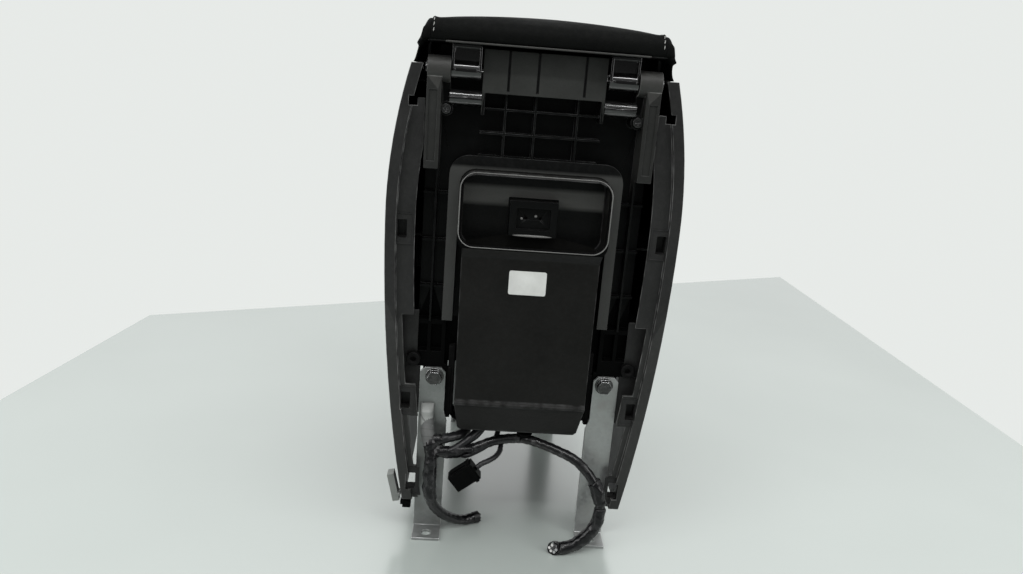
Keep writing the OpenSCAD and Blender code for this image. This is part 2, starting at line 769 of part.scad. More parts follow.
// Cross-head screws in the bosses beside the posts.
module frame_screws() {
    color([0.5, 0.5, 0.5]) for (s = [-1, 1]) {
        x = s * (post_x0 - screw_in);
        z = hinge_z - screw_drop;
        y = hinge_y - 3;
        difference() {
            union() {
                bar_y(x, y - 2.2, y, z, 3.8);
                bar_y(x, y - 1, y + rib_d, z, screw_r);
            }
            for (a = [0, 90]) {
                translate([x, y - 2.2, z]) rotate([0, a, 0]) cube([4, 2, 0.9], center = true);
            }
        }
    }
}

// Section of the lid in X and Z, taken in by t.
module lid_section(t) {
    side = [cos(lid_side_a), sin(lid_side_a)];
    foot = [lid_hw, lid_low] - t * side;
    heel = foot + 20 * [side[1], -side[0]];
    shoulder = [crown_hw, shoulder_z - lid_r] + (lid_r - t) * side;
    half = [heel, shoulder, [crown_hw, shoulder_z - lid_r], [crown_hw, shoulder_z - t]];
    polygon(concat(half, [for (i = [len(half) - 1 : -1 : 0]) [-half[i][0], half[i][1]]]));
    for (s = [-1, 1]) {
        translate([s * crown_hw, shoulder_z - lid_r]) circle(r = lid_r - t, $fn = 96);
    }
    intersection() {
        translate([0, lid_top - crown_r]) circle(r = crown_r - t, $fn = fine);
        translate([-crown_hw, lid_low]) square([2 * crown_hw, lid_h]);
    }
}

// Section of the lid in Y and Z, taken in by t.
module lid_side(t) {
    r = lid_end_r - t;
    z1 = lid_top - t;
    difference() {
        union() {
            translate([lid_y0 + t, lid_low - 20]) square([lid_y1 - lid_y0 - 2 * t, z1 - r - lid_low + 20]);
            translate([lid_y0 + t + r, lid_low - 20]) square([lid_y1 - lid_y0 - 2 * t - 2 * r, z1 - lid_low + 20]);
            for (y = [lid_y0 + t + r, lid_y1 - t - r]) {
                translate([y, z1 - r]) circle(r = r, $fn = 64);
            }
        }
        translate([lid_y0 - 1, 0]) square([lid_y1 - lid_y0 + 2, lid_low]);
    }
}

// The region at the rear that the lid leaves free for the hinge, t in from its outside.
module lid_relief(t) {
    intersection() {
        along_y(lid_y0 - 1, hinge_y + 16) lid_section(t);
        block([-half_w, lid_y0 - 2, 0], [half_w, yf, lid_floor]);
    }
    along_x(-half_w, half_w)
        polygon([[lid_y0 - 1, 0], [hinge_y + 8, 0], [hinge_y + 8, lid_low], [hinge_y, hinge_z + barrel_r + 4],
            [lid_y0 - 1, lid_floor]]);
}

// Padded cover of the lid: a simple closed solid.
module lid_cushion() {
    color([0.06, 0.06, 0.06]) difference() {
        intersection() {
            along_y(lid_y0, lid_y1) lid_section(0);
            along_x(-half_w, half_w) lid_side(0);
            along_z(0, lid_top + 1) soft_rect(-lid_hw - 1, lid_y0, lid_hw + 1, lid_y1, lid_corner_r);
        }
        block([-base_hw, lid_y0 + pad_t, 0], [base_hw, lid_y1 - pad_t, lid_floor + lid_t + seat]);
        lid_relief(pad_t);
    }
}

// Moulded plate under the padding, with a rim down inside the cover.
module lid_base() {
    x1 = base_hw - seat;
    y0 = lid_y0 + pad_t + seat;
    y1 = lid_y1 - pad_t - seat;
    color([0.1, 0.1, 0.1]) difference() {
        block([-x1, y0, lid_low + 1], [x1, y1, lid_floor + lid_t]);
        block([lid_t - x1, y0 - 1, 0], [x1 - lid_t, y1 - lid_t, lid_floor]);
        lid_relief(-1);
    }
}

// Pan on the lid's underside, over the bin.
module lid_inner_cover() {
    x1 = base_hw - lid_t - 2 * seat;
    y0 = hinge_y + 1.5 * arm_screw + 4;
    y1 = lid_y1 - pad_t - 3 * lid_t;
    color([0.1, 0.1, 0.1]) difference() {
        along_z(lid_low - 0.5, lid_floor - seat) soft_rect(-x1, y0, x1, y1, 8);
        along_z(lid_low - 0.5 + lid_t, lid_floor) soft_rect(lid_t - x1, y0 + lid_t, x1 - lid_t, y1 - lid_t, 6);
        // Long shallow panels pressed into the underside.
        for (x = [-1, 1]) {
            along_z(lid_low - 1, lid_low + 0.3) soft_rect(x * x1 / 2 - 34, y0 + 18, x * x1 / 2 + 34, y1 - 18, 6);
        }
    }
}

// One lid arm: knuckle round the pin, pocketed web and a foot under the lid's plate, right side.
module arm_half() {
    toe_r = stop_drop - stop_r - seat;
    difference() {
        union() {
            bar_x(arm_x0, arm_x1, hinge_y, hinge_z, knuckle_r);
            block([arm_x0, hinge_y - 1, hinge_z], [arm_x1, hinge_y + knuckle_r, lid_floor]);
            block([arm_x0, hinge_y - knuckle_r, lid_floor - 3.5], [arm_x1, hinge_y + 1.5 * arm_screw, lid_floor]);
            for (x = [arm_x0, arm_x1 - rib_t]) {
                block([x, hinge_y - knuckle_r, hinge_z], [x + rib_t, hinge_y, lid_floor]);
            }
            // Toe that meets the stop bar when the lid is fully open.
            along_x(arm_x0 + 3, arm_x1 - 3) translate([hinge_y, hinge_z])
                polygon([[0, 0], toe_r * [cos(176), sin(176)], toe_r * [cos(186), sin(186)]]);
        }
        bar_x(arm_x0 - 1, arm_x1 + 1, hinge_y, hinge_z, pin_r + pin_gap);
        for (x = [arm_x0 + 6, arm_x1 - 6]) {
            translate([x, hinge_y + arm_screw, lid_floor - 4]) cylinder(h = 5, r = screw_r + pin_gap, $fn = small_fn);
        }
    }
}

module hinge_arm_right() {
    color([0.03, 0.03, 0.03]) arm_half();
}

module hinge_arm_left() {
    color([0.03, 0.03, 0.03]) mirror([1, 0, 0]) arm_half();
}

// Screws that hold the arms to the lid's plate.
module lid_screws() {
    color([0.5, 0.5, 0.5]) for (s = [-1, 1], x = [arm_x0 + 6, arm_x1 - 6]) {
        translate([s * x, hinge_y + arm_screw, lid_floor - 3.5]) {
            translate([0, 0, -2]) cylinder(h = 2, r = 3.4, $fn = small_fn);
            translate([0, 0, -1]) cylinder(h = 4.3, r = screw_r, $fn = small_fn);
        }
    }
}

// Rubber stops between the lid's pan and the bin's rim.
module bump_stops() {
    z1 = lid_low - 0.5;
    z0 = frame_top + rim_t + seat;
    x = base_hw - lid_t - 2 * seat - 3.5;
    color([0.05, 0.05, 0.05]) for (s = [-1, 1], y = [hinge_y + 60, frame_y1 - 12]) {
        translate([s * x, y, z0]) cylinder(h = z1 - z0, r = 3, $fn = small_fn);
    }
}

// Rubber grommet in the frame's floor, with a lip on each side.
module cable_grommet() {
    color([0.05, 0.05, 0.05]) translate([grommet_x, grommet_y, frame_low]) difference() {
        union() {
            translate([0, 0, -1.8]) cylinder(h = 1.5, r = grommet_r + 4, $fn = round_fn);
            translate([0, 0, -1]) cylinder(h = wall_t + 2, r = grommet_r + 2, $fn = round_fn);
            translate([0, 0, wall_t + seat]) cylinder(h = 1.5, r = grommet_r + 4, $fn = round_fn);
        }
        translate([0, 0, -3]) cylinder(h = wall_t + 6, r = grommet_r, $fn = round_fn);
    }
}

// Push-in clip that holds the right harness up against the duct.
module harness_clip() {
    z1 = duct_low;
    cord_z = 94;
    color([0.05, 0.05, 0.05]) translate([clip_x, clip_y, 0]) {
        translate([0, 0, z1 - 1.5]) cylinder(h = 1.5, r = 7, $fn = small_fn);
        difference() {
            block([-4, -4, cord_z - 1], [4, 4, z1 - 1]);
            translate([0, 0, cord_z]) rotate([0, 90, atan2(-5, 28)])
                cylinder(h = 30, r = right_d / 2, center = true, $fn = small_fn);
        }
    }
}

// Round tube along a route, with n sides.
module tube(route, d, n) {
    t = heading(route);
    u = sideways(t);
    rings = len(route);
    corners = [for (i = [0 : rings - 1], k = [0 : n - 1])
        let (a = 360 * k / n, v = cross(t[i], u[i])) route[i] + d / 2 * (cos(a) * u[i] + sin(a) * v)];
    walls = [for (i = [0 : rings - 2], k = [0 : n - 1])
        [i * n + k, (i + 1) * n + k, (i + 1) * n + (k + 1) % n, i * n + (k + 1) % n]];
    ends = [[for (k = [0 : n - 1]) k], [for (k = [n - 1 : -1 : 0]) (rings - 1) * n + k]];
    polyhedron(corners, concat(walls, ends));
}

module harness_left() {
    color([0.04, 0.04, 0.04]) tube(left_route, left_d, 10);
}

module harness_trunk() {
    color([0.04, 0.04, 0.04]) tube(trunk_route, trunk_d, 10);
}

module harness_right() {
    color([0.04, 0.04, 0.04]) tube(right_route, right_d, 10);
}

module harness_lead() {
    color([0.04, 0.04, 0.04]) tube(lead_route, lead_d, 8);
}

// Black connector on the end of the lead: housing, latch and cable throat.
module harness_connector() {
    color([0.05, 0.05, 0.05]) translate(plug_at) rotate([0, -38, 0]) difference() {
        union() {
            block([-plug_l / 2, -6, -8], [plug_l / 2, 6, 8]);
            block([-plug_l / 2 + 3, -3, 7.5], [plug_l / 2 - 4, 3, 10]);
            block([plug_l / 2 - 5, -7, -9], [plug_l / 2 - 2, 7, 9]);
        }
        block([-plug_l / 2 - 1, -4.5, -6.5], [8 - plug_l / 2, 4.5, 6.5]);
    }
}

// Pale moulded clip that stands off the left panel's lower corner.
module side_clip() {
    color([0.6, 0.6, 0.6]) translate([-half_at(panel_low) - 5.2, yr + 8, panel_low - 4]) rotate([0, -13, 0])
        difference() {
            union() {
                block([-3, -5, 0], [3, 5, clip_l]);
                block([-3, -5, 4], [4.6, 5, 7]);
            }
            block([-4, -2.5, 8], [1.5, 2.5, clip_l - 4]);
        }
}

// Dark hexagon nut under the panel's lower edge.
module side_clip_nut() {
    x = -half_at(panel_low);
    color([0.1, 0.1, 0.1]) difference() {
        union() {
            translate([x + 0.5, yr + 8, panel_low - 6.6]) rotate([0, 90, 0]) cylinder(h = 7, r = 6.2, $fn = 6);
            bar_x(x - 1.6, x + 1, yr + 8, panel_low - 6.6, 3);
        }
        bar_x(x + 4, x + 9, yr + 8, panel_low - 6.6, 2);
    }
}

side_panel_left();
side_panel_right();
front_trim();
inner_frame();
storage_bin();
bin_mat();
air_duct();
duct_label();
rear_leg_left();
rear_leg_right();
front_leg_left();
front_leg_right();
rear_leg_bolts();
front_leg_bolts();
leg_pads();
hinge_pin_left();
hinge_pin_right();
stop_bar_left();
stop_bar_right();
frame_screws();
lid_cushion();
lid_base();
lid_inner_cover();
hinge_arm_left();
hinge_arm_right();
lid_screws();
bump_stops();
cable_grommet();
harness_clip();
harness_left();
harness_trunk();
harness_right();
harness_lead();
harness_connector();
side_clip();
side_clip_nut();
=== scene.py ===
import json
import math
import random

import bmesh
import bpy
from mathutils import Matrix, Vector, noise
from mathutils.bvhtree import BVHTree
from mathutils.geometry import interpolate_bezier

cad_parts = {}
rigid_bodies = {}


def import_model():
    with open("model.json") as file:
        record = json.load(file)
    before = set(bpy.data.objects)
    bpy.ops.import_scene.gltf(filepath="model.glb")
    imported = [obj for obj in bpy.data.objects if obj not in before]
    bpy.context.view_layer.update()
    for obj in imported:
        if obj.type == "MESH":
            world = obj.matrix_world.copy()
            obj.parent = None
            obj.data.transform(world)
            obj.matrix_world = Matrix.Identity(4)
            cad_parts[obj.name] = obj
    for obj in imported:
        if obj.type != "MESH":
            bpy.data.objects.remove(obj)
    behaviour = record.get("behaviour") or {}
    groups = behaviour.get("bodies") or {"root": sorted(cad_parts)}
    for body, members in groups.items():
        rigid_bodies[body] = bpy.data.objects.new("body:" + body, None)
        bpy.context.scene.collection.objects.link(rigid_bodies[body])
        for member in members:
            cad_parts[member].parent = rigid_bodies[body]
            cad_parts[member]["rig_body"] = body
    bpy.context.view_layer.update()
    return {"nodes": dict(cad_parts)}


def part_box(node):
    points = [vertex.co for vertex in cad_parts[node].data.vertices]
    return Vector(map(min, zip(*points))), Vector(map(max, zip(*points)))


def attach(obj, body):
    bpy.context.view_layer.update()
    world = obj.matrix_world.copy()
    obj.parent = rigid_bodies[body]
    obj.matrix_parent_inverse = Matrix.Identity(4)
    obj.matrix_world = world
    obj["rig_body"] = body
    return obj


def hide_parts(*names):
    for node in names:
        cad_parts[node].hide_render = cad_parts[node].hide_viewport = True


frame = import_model()


# The camera stands behind the armrest at lid height, looks down at it and leans a little, so the
# part appears turned clockwise, as in the photograph.
eye = bpy.data.objects.new("eye", bpy.data.cameras.new("eye"))
eye.data.sensor_width = 36.0
eye.data.lens = 26.46
eye.data.clip_start = 0.02
lean = Matrix.Rotation(math.radians(4.42), 4, "Z")
tilt = Matrix.Rotation(math.radians(75.0), 4, "X")
turn = Matrix.Rotation(math.radians(-3.0), 4, "Z")
eye.matrix_world = Matrix.Translation((-0.0457, -0.750, 0.3986)) @ turn @ tilt @ lean
bpy.context.scene.collection.objects.link(eye)
bpy.context.scene.camera = eye
bpy.context.scene.view_settings.view_transform = "Standard"


# A pale tabletop, slightly greenish and satin, under a white light tent. The tabletop ends at the
# tent's back edge, and the tent itself is the white world.
def wire(tree, out_node, output, in_node, socket):
    """Links an output of one node to a socket of another."""
    tree.links.new(out_node.outputs[output], in_node.inputs[socket])


def add_node(tree, kind, sockets=None, **settings):
    """A node with its settings. A socket takes a value, or another node and its output's name."""
    made = tree.nodes.new("ShaderNode" + kind)
    for name, value in settings.items():
        setattr(made, name, value)
    for name, value in (sockets or {}).items():
        if isinstance(value, tuple) and isinstance(value[0], bpy.types.Node):
            wire(tree, *value, made, name)
        else:
            made.inputs[name].default_value = value
    return made


def blank_material(name, sockets):
    """A material with nothing but its shader, whose sockets are set, wired to the output."""
    made = bpy.data.materials.new(name)
    made.use_nodes = True
    tree = made.node_tree
    tree.nodes.clear()
    finish = tree.nodes.new("ShaderNodeOutputMaterial")
    shader = add_node(tree, "BsdfPrincipled", sockets)
    wire(tree, shader, "BSDF", finish, "Surface")
    return made, tree, shader


def finish_mesh(name, shape, material, body, smooth=40.0):
    """Turns a finished shape into a piece that rides on a body."""
    mesh = bpy.data.meshes.new(name)
    shape.to_mesh(mesh)
    shape.free()
    piece = bpy.data.objects.new(name, mesh)
    bpy.context.scene.collection.objects.link(piece)
    mesh.materials.append(material)
    mesh.shade_smooth()
    mesh.set_sharp_from_angle(angle=math.radians(smooth))
    if body:
        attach(piece, body)
    return piece


top = bmesh.new()
for corner in ((-0.560, 0.420), (0.691, 0.988), (0.60, -3.2), (-1.05, -3.2), (-0.588, 0.081)):
    top.verts.new((corner[0], corner[1], 0.0))
top.faces.new(list(top.verts))
bmesh.ops.recalc_face_normals(top, faces=top.faces)
if top.faces[:][0].normal.z < 0:
    bmesh.ops.reverse_faces(top, faces=top.faces)
table_finish, tree, shader = blank_material("tabletop", {"Roughness": 0.22, "IOR": 2.3})
place = add_node(tree, "TexCoord")
cloud = add_node(tree, "TexNoise", {"Vector": (place, "Object"), "Scale": 2.2, "Detail": 3.0})
tone = add_node(tree, "ValToRGB", {"Fac": (cloud, "Fac")})
tone.color_ramp.elements[0].position = 0.3
tone.color_ramp.elements[0].color = (0.325, 0.360, 0.340, 1)
tone.color_ramp.elements[1].position = 0.75
tone.color_ramp.elements[1].color = (0.365, 0.400, 0.380, 1)
wire(tree, tone, "Color", shader, "Base Color")
table = finish_mesh("tabletop", top, table_finish, None)

world = bpy.data.worlds.new("tent")
bpy.context.scene.world = world
world.use_nodes = True
sky = world.node_tree
sky.nodes.clear()
rays = add_node(sky, "LightPath")
seen = add_node(sky, "Math", {
    0: (rays, "Is Camera Ray"), 1: (rays, "Is Transmission Ray")}, operation="MAXIMUM")
way = add_node(sky, "TexCoord")
split = add_node(sky, "SeparateXYZ", {"Vector": (way, "Generated")})
above = add_node(sky, "MapRange", {
    "Value": (split, "Z"), "From Min": -0.05, "From Max": 0.85,
    "To Min": 0.07, "To Max": 0.76}, interpolation_type="SMOOTHSTEP")
beyond = add_node(sky, "MapRange", {
    "Value": (split, "Y"), "From Min": -0.3, "From Max": 0.9,
    "To Min": 0.0, "To Max": 0.86}, interpolation_type="SMOOTHSTEP")
strength = add_node(sky, "Math", {0: (above, "Result"), 1: (beyond, "Result")}, operation="ADD")
glow = add_node(sky, "Background", {"Strength": (strength, "Value"), "Color": (0.95, 0.965, 0.96, 1)})
cloth = add_node(sky, "Background", {"Color": (0.80, 0.825, 0.805, 1), "Strength": 1.0})
choice = add_node(sky, "MixShader", {
    "Fac": (seen, "Value"), 1: (glow, "Background"), 2: (cloth, "Background")})
wire(sky, choice, "Shader", sky.nodes.new("ShaderNodeOutputWorld"), "Surface")


def soft_light(name, place, target, width, height, watts):
    """A rectangular studio lamp that points at the target."""
    lamp = bpy.data.lights.new(name, "AREA")
    lamp.shape = "RECTANGLE"
    lamp.size = width
    lamp.size_y = height
    lamp.energy = watts
    fitting = bpy.data.objects.new(name, lamp)
    aim = (Vector(target) - Vector(place)).to_track_quat("-Z", "Y")
    fitting.matrix_world = Matrix.Translation(place) @ aim.to_matrix().to_4x4()
    bpy.context.scene.collection.objects.link(fitting)


soft_light("roof_light", (0.1, -0.15, 1.5), (0.0, 0.0, 0.3), 1.5, 1.1, 7.0)
soft_light("left_light", (-1.35, -1.0, 0.95), (0.0, 0.0, 0.25), 0.8, 1.1, 12.0)
soft_light("right_light", (1.45, -0.9, 0.85), (0.0, 0.0, 0.25), 0.8, 1.1, 10.0)
soft_light("strip_light", (0.0, -0.95, 1.45), (0.0, -0.15, 0.25), 1.5, 0.10, 8.5)


# Harness: bundles of thin copper wires wound with black adhesive tape. The thick ones are stiff
# enough to keep their bends. Two of them end cut, and a short lead ends in a black plug.
def open_group(name, inputs, outputs):
    """An empty node group with named sockets, and its two end nodes."""
    group = bpy.data.node_groups.new(name, "ShaderNodeTree")
    for way, labels in (("INPUT", inputs), ("OUTPUT", outputs)):
        for label in labels:
            kind = "NodeSocketColor" if label in ("Colour", "Rubbed_and_lit") else "NodeSocketFloat"
            group.interface.new_socket(label, in_out=way, socket_type=kind)
    return group, group.nodes.new("NodeGroupInput"), group.nodes.new("NodeGroupOutput")


def tape_wrap_group():
    """The laps of a winding, with the fine grain and the scuffs of old tape."""
    group, entry, leave = open_group("tape_wrap", ["Turns", "Grime"], ["Height", "Lap", "Scuff"])
    uv = add_node(group, "UVMap")
    split = add_node(group, "SeparateXYZ", {"Vector": (uv, "UV")})
    along = add_node(group, "Math", {
        0: (split, "X"), 1: (entry, "Turns"), 2: (split, "Y")}, operation="MULTIPLY_ADD")
    saw = add_node(group, "Math", {0: (along, "Value")}, operation="FRACT")
    edge = add_node(group, "MapRange", {
        "Value": (saw, "Value"), "From Min": 0.0, "From Max": 0.09, "To Min": 1.0, "To Max": 0.0})
    place = add_node(group, "TexCoord")
    fine = add_node(group, "TexNoise", {"Vector": (place, "Object"), "Scale": 900.0, "Detail": 2.0})
    broad = add_node(group, "TexNoise", {"Vector": (place, "Object"), "Scale": 120.0, "Detail": 4.0})
    scuff = add_node(group, "MapRange", {"Value": (broad, "Fac"), "From Min": 0.52, "From Max": 0.78})
    grime = add_node(group, "Math", {0: (scuff, "Result"), 1: (entry, "Grime")}, operation="MULTIPLY")
    rough = add_node(group, "Math", {
        0: (fine, "Fac"), 1: 0.25, 2: (saw, "Value")}, operation="MULTIPLY_ADD")
    wire(group, rough, "Value", leave, "Height")
    wire(group, edge, "Result", leave, "Lap")
    wire(group, grime, "Value", leave, "Scuff")
    return group


tape_wrap = tape_wrap_group()


def tape_finish(name, colour, worn, turns, roughness, grime):
    """Winding tape of one colour, scuffed to another, with so many turns along the bundle."""
    made, tree, shader = blank_material(name, {"IOR": 1.5, "Specular IOR Level": 0.34})
    wrap = add_node(tree, "Group", {"Turns": turns, "Grime": grime}, node_tree=tape_wrap)
    base = add_node(tree, "Mix", {0: (wrap, "Scuff"), 6: (*colour, 1), 7: (*worn, 1)}, data_type="RGBA")
    lap = add_node(tree, "Mix", {
        0: (wrap, "Lap"), 6: (base, 2), 7: (0.35, 0.35, 0.35, 1)},
        data_type="RGBA", blend_type="MULTIPLY")
    wire(tree, lap, 2, shader, "Base Color")
    gloss = add_node(tree, "MapRange", {
        "Value": (wrap, "Scuff"), "To Min": roughness, "To Max": roughness + 0.25})
    wire(tree, gloss, "Result", shader, "Roughness")
    relief = add_node(tree, "Bump", {"Height": (wrap, "Height"), "Strength": 0.6, "Distance": 0.0004})
    wire(tree, relief, "Normal", shader, "Normal")
    return made


def smooth_route(points, steps=8):
    """The route's points in metres, joined by one smooth curve."""
    dots = [Vector(p) / 1000.0 for p in points]
    line = []
    for i in range(len(dots) - 1):
        before = dots[max(i - 1, 0)]
        after = dots[min(i + 2, len(dots) - 1)]
        reach = (dots[i + 1] - dots[i]).length / 3.0
        leave = (dots[i + 1] - before).normalized() * reach
        enter = (after - dots[i]).normalized() * reach
        span = interpolate_bezier(dots[i], dots[i] + leave, dots[i + 1] - enter, dots[i + 1], steps + 1)
        line.extend(span[:-1])
    return line + [dots[-1]]


def settled(holder):
    """The mesh that an object comes to, in place of the object itself."""
    bpy.context.scene.collection.objects.link(holder)
    bpy.context.view_layer.update()
    ready = bpy.context.evaluated_depsgraph_get()
    mesh = bpy.data.meshes.new_from_object(holder.evaluated_get(ready), depsgraph=ready)
    bpy.data.objects.remove(holder)
    return mesh


def tube_mesh(name, line, radius, sides=5):
    """A closed tube along the line, with its UV map running along and around it."""
    curve = bpy.data.curves.new(name, "CURVE")
    curve.dimensions = "3D"
    curve.bevel_depth = radius
    curve.bevel_resolution = sides
    curve.use_fill_caps = True
    curve.twist_mode = "MINIMUM"
    strand = curve.splines.new("POLY")
    strand.points.add(len(line) - 1)
    for dot, place in zip(strand.points, line):
        dot.co = (*place, 1.0)
    mesh = settled(bpy.data.objects.new(name, curve))
    mesh.name = name
    return mesh


def opened(mesh):
    """A mesh, open for editing."""
    shape = bmesh.new()
    shape.from_mesh(mesh)
    return shape


def wound(mesh, line, turns, step):
    """Presses the laps of a spiral winding into a tube's surface."""
    marks = [0.0]
    for a, b in zip(line, line[1:]):
        marks.append(marks[-1] + (b - a).length)
    moves = {}
    uv = mesh.uv_layers[0].data
    for loop in mesh.loops:
        u, v = uv[loop.index].uv
        moves[loop.vertex_index] = (u, v)
    for index, (u, v) in moves.items():
        spot = min(int(u * (len(line) - 1) + 0.5), len(line) - 1)
        dot = mesh.vertices[index]
        out = dot.co - line[spot]
        if out.length > 0.0005:
            lap = (marks[spot] / marks[-1] * turns + v) % 1.0
            dot.co = dot.co + out.normalized() * step * (lap - 0.5)


def harness(name, points, diameter, material, turns, replaced):
    """A taped bundle along its route, in place of the plain one."""
    line = smooth_route(points)
    lap_step = 0.0005
    mesh = tube_mesh(name, line, diameter / 2.0 - 0.0002)
    wound(mesh, line, turns, lap_step)
    piece = finish_mesh(name, opened(mesh), material, "root", 50.0)
    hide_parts(replaced)


left_route = [
    (-79, -141.1, 119.5), (-79, -141.3, 114.5), (-78.6, -142.8, 109), (-77.8, -146, 103.5),
    (-76.4, -149.6, 97), (-74.6, -152.4, 91), (-73, -154.6, 84), (-73, -158, 68), (-73, -158, 51),
    (-70, -154, 36), (-62, -146, 22), (-51, -137, 11), (-40, -129, 5.2), (-30, -124, 5.2),
]
trunk_route = [
    (-69.5, -150, 95.5), (-60, -146, 96), (-50, -138, 95.5), (-44, -127, 95), (-45, -114, 96),
    (-55, -103, 99), (-64, -96, 108), (-69, -91, 124), (-70, -90, 140), (-70, -90, 155), (-70, -90, 168),
]
right_route = [
    (-67, -151, 85), (-57, -149, 84), (-45, -146, 84.5), (-33, -142, 87), (-20, -138, 91),
    (-6, -136, 93.5), (8, -136, 94), (22, -141, 93), (38, -148, 90), (53, -154, 85), (65, -158, 75),
    (74, -161, 61), (78, -162, 46), (77, -163, 31), (70, -164, 18), (60, -165, 9), (49, -166, 5),
    (41, -167, 5),
]
lead_route = [
    (-12, -133, 86.5), (-13, -139, 82.5), (-17, -146, 80), (-23, -151, 78.5), (-28.5, -154, 77),
    (-33, -156, 74)]

left_tape = tape_finish("left_tape", (0.0035, 0.0035, 0.004), (0.030, 0.031, 0.031), 22.0, 0.20, 0.6)
trunk_tape = tape_finish("trunk_tape", (0.008, 0.008, 0.009), (0.040, 0.040, 0.040), 22.0, 0.32, 0.6)
right_tape = tape_finish("right_tape", (0.006, 0.006, 0.0065), (0.060, 0.060, 0.060), 36.0, 0.17, 0.7)
lead_tape = tape_finish("lead_tape", (0.008, 0.008, 0.009), (0.030, 0.030, 0.030), 12.0, 0.34, 0.3)
grey_tape = tape_finish("grey_tape", (0.085, 0.088, 0.086), (0.150, 0.150, 0.145), 5.0, 0.55, 0.6)
bare_label = tape_finish("bare_label", (0.25, 0.26, 0.25), (0.19, 0.19, 0.185), 0.4, 0.42, 0.4)


def joined(name, meshes):
    """One mesh out of several, whose own copies are dropped."""
    shape = bmesh.new()
    for part in meshes:
        shape.from_mesh(part)
        bpy.data.meshes.remove(part)
    whole = bpy.data.meshes.new(name)
    shape.to_mesh(whole)
    shape.free()
    return whole


def reshaped(mesh, name, kind, **settings):
    """The mesh as one modifier makes it."""
    holder = bpy.data.objects.new(name, mesh)
    step = holder.modifiers.new(name, kind)
    for key, value in settings.items():
        setattr(step, key, value)
    return settled(holder)


def lumpy(shape, scale, amount, seed):
    """Pushes the points of a mesh in and out, as tape that was wound by hand lies."""
    shape.normal_update()
    for dot in shape.verts:
        push = noise.noise(dot.co * scale + Vector((seed, 0.0, 0.0)))
        dot.co += dot.normal * push * amount


def between(line, low, high):
    """The stretch of a line between two shares of its length."""
    first = int(low * (len(line) - 1))
    last = int(high * (len(line) - 1))
    return line[first:last + 1]


# Where the bundles part, a wad of tape holds them together. Three thin leads run from it up
# behind the duct. More wads sit on the right bundle, and a bare label is wrapped round the left.
left_line = smooth_route(left_route)
trunk_line = smooth_route(trunk_route)
right_line = smooth_route(right_route)
table_gap = 0.0002


def tape_wad(name, stretches, cell, winding, seed):
    """A lump of tape wound by hand over some stretches of the bundles."""
    parts = [tube_mesh(name, line, radius) for line, radius in stretches]
    shape = opened(reshaped(joined(name, parts), name, "REMESH", mode="VOXEL", voxel_size=cell))
    for _ in range(4):
        bmesh.ops.smooth_vert(
            shape, verts=shape.verts, factor=0.5, use_axis_x=True, use_axis_y=True, use_axis_z=True)
    lumpy(shape, 140.0, 0.0011, seed)
    lumpy(shape, 420.0, 0.0003, seed + 7)
    for dot in shape.verts:
        dot.co.z = max(dot.co.z, table_gap)
    layer = shape.loops.layers.uv.new("winding")
    for side in shape.faces:
        for loop in side.loops:
            place = loop.vert.co
            loop[layer].uv = (place.z * winding, place.x * winding + place.y * winding * 0.6)
    piece = finish_mesh(name, shape, wad_tape, "root", 60.0)
    return piece


wad_tape = tape_finish("wad_tape", (0.0035, 0.0035, 0.004), (0.030, 0.030, 0.031), 1.0, 0.24, 0.7)
into_trunk = [left_line[32]] + between(trunk_line, 0.0, 0.05)
into_right = [left_line[36]] + between(right_line, 0.0, 0.16)
junction_wad = tape_wad(
    "junction_wad", [(left_line[33:70], 0.0060), (into_trunk, 0.0050), (into_right, 0.0055)],
    0.0011, 60.0, 2)
right_wad = tape_wad("right_wad", [(between(right_line, 0.62, 0.70), 0.0061)], 0.0010, 90.0, 5)
end_wad = tape_wad("end_wad", [(between(right_line, 0.72, 0.985), 0.0058)], 0.0010, 90.0, 9)

sleeve_shape = opened(tube_mesh("grey_sleeve", left_line[6:40], 0.0059, 9))
lumpy(sleeve_shape, 160.0, 0.0007, 3)
grey_sleeve = finish_mesh("grey_sleeve", sleeve_shape, grey_tape, "root", 60.0)
leg_face = -0.1362
above_end = [left_line[0] + Vector((0.0, 0.0, rise)) for rise in (0.0045, 0.0030, 0.0015)]
wrap_shape = opened(tube_mesh("harness_label", above_end + left_line[0:23], 0.0058, 9))
for dot in wrap_shape.verts:
    lift = min(max(0.0, dot.co.z - left_line[0].z) / 0.0046, 1.0)
    if dot.co.y < leg_face:
        dot.co.y = leg_face + (dot.co.y - leg_face) * (1.0 - lift) ** 0.5
harness_label = finish_mesh("harness_label", wrap_shape, bare_label, "root", 60.0)

loose_runs = (
    [
        (-62, -152, 84), (-55, -150, 82), (-49.3, -146, 86.5), (-42, -141, 91), (-34.6, -136, 95),
        (-27, -126, 101), (-20, -112, 106)],
    [
        (-52, -149, 83.5), (-44, -148, 81), (-37, -145, 82), (-26.4, -142, 87.5), (-17.7, -136, 93),
        (-15, -126, 99), (-16, -112, 105)],
    [
        (-58, -151, 86), (-51, -147, 88), (-44, -143, 92), (-38, -138, 96), (-30, -128, 101),
        (-24, -114, 106)],
)
for number, (run, radius) in enumerate(zip(loose_runs, (0.0030, 0.0024, 0.0033))):
    strand_shape = opened(tube_mesh("loose_lead", smooth_route(run), radius, 4))
    strand = finish_mesh("loose_lead_%d" % (number + 1), strand_shape, lead_tape, "root", 60.0)

harness(
    "left_harness", left_route, 0.0096, left_tape, 22.0, "harness_left")
harness(
    "trunk_harness", trunk_route, 0.009, trunk_tape, 22.0, "harness_trunk")
harness(
    "right_harness", right_route, 0.009, right_tape, 36.0, "harness_right")
harness(
    "connector_lead", lead_route, 0.005, lead_tape, 12.0, "harness_lead")


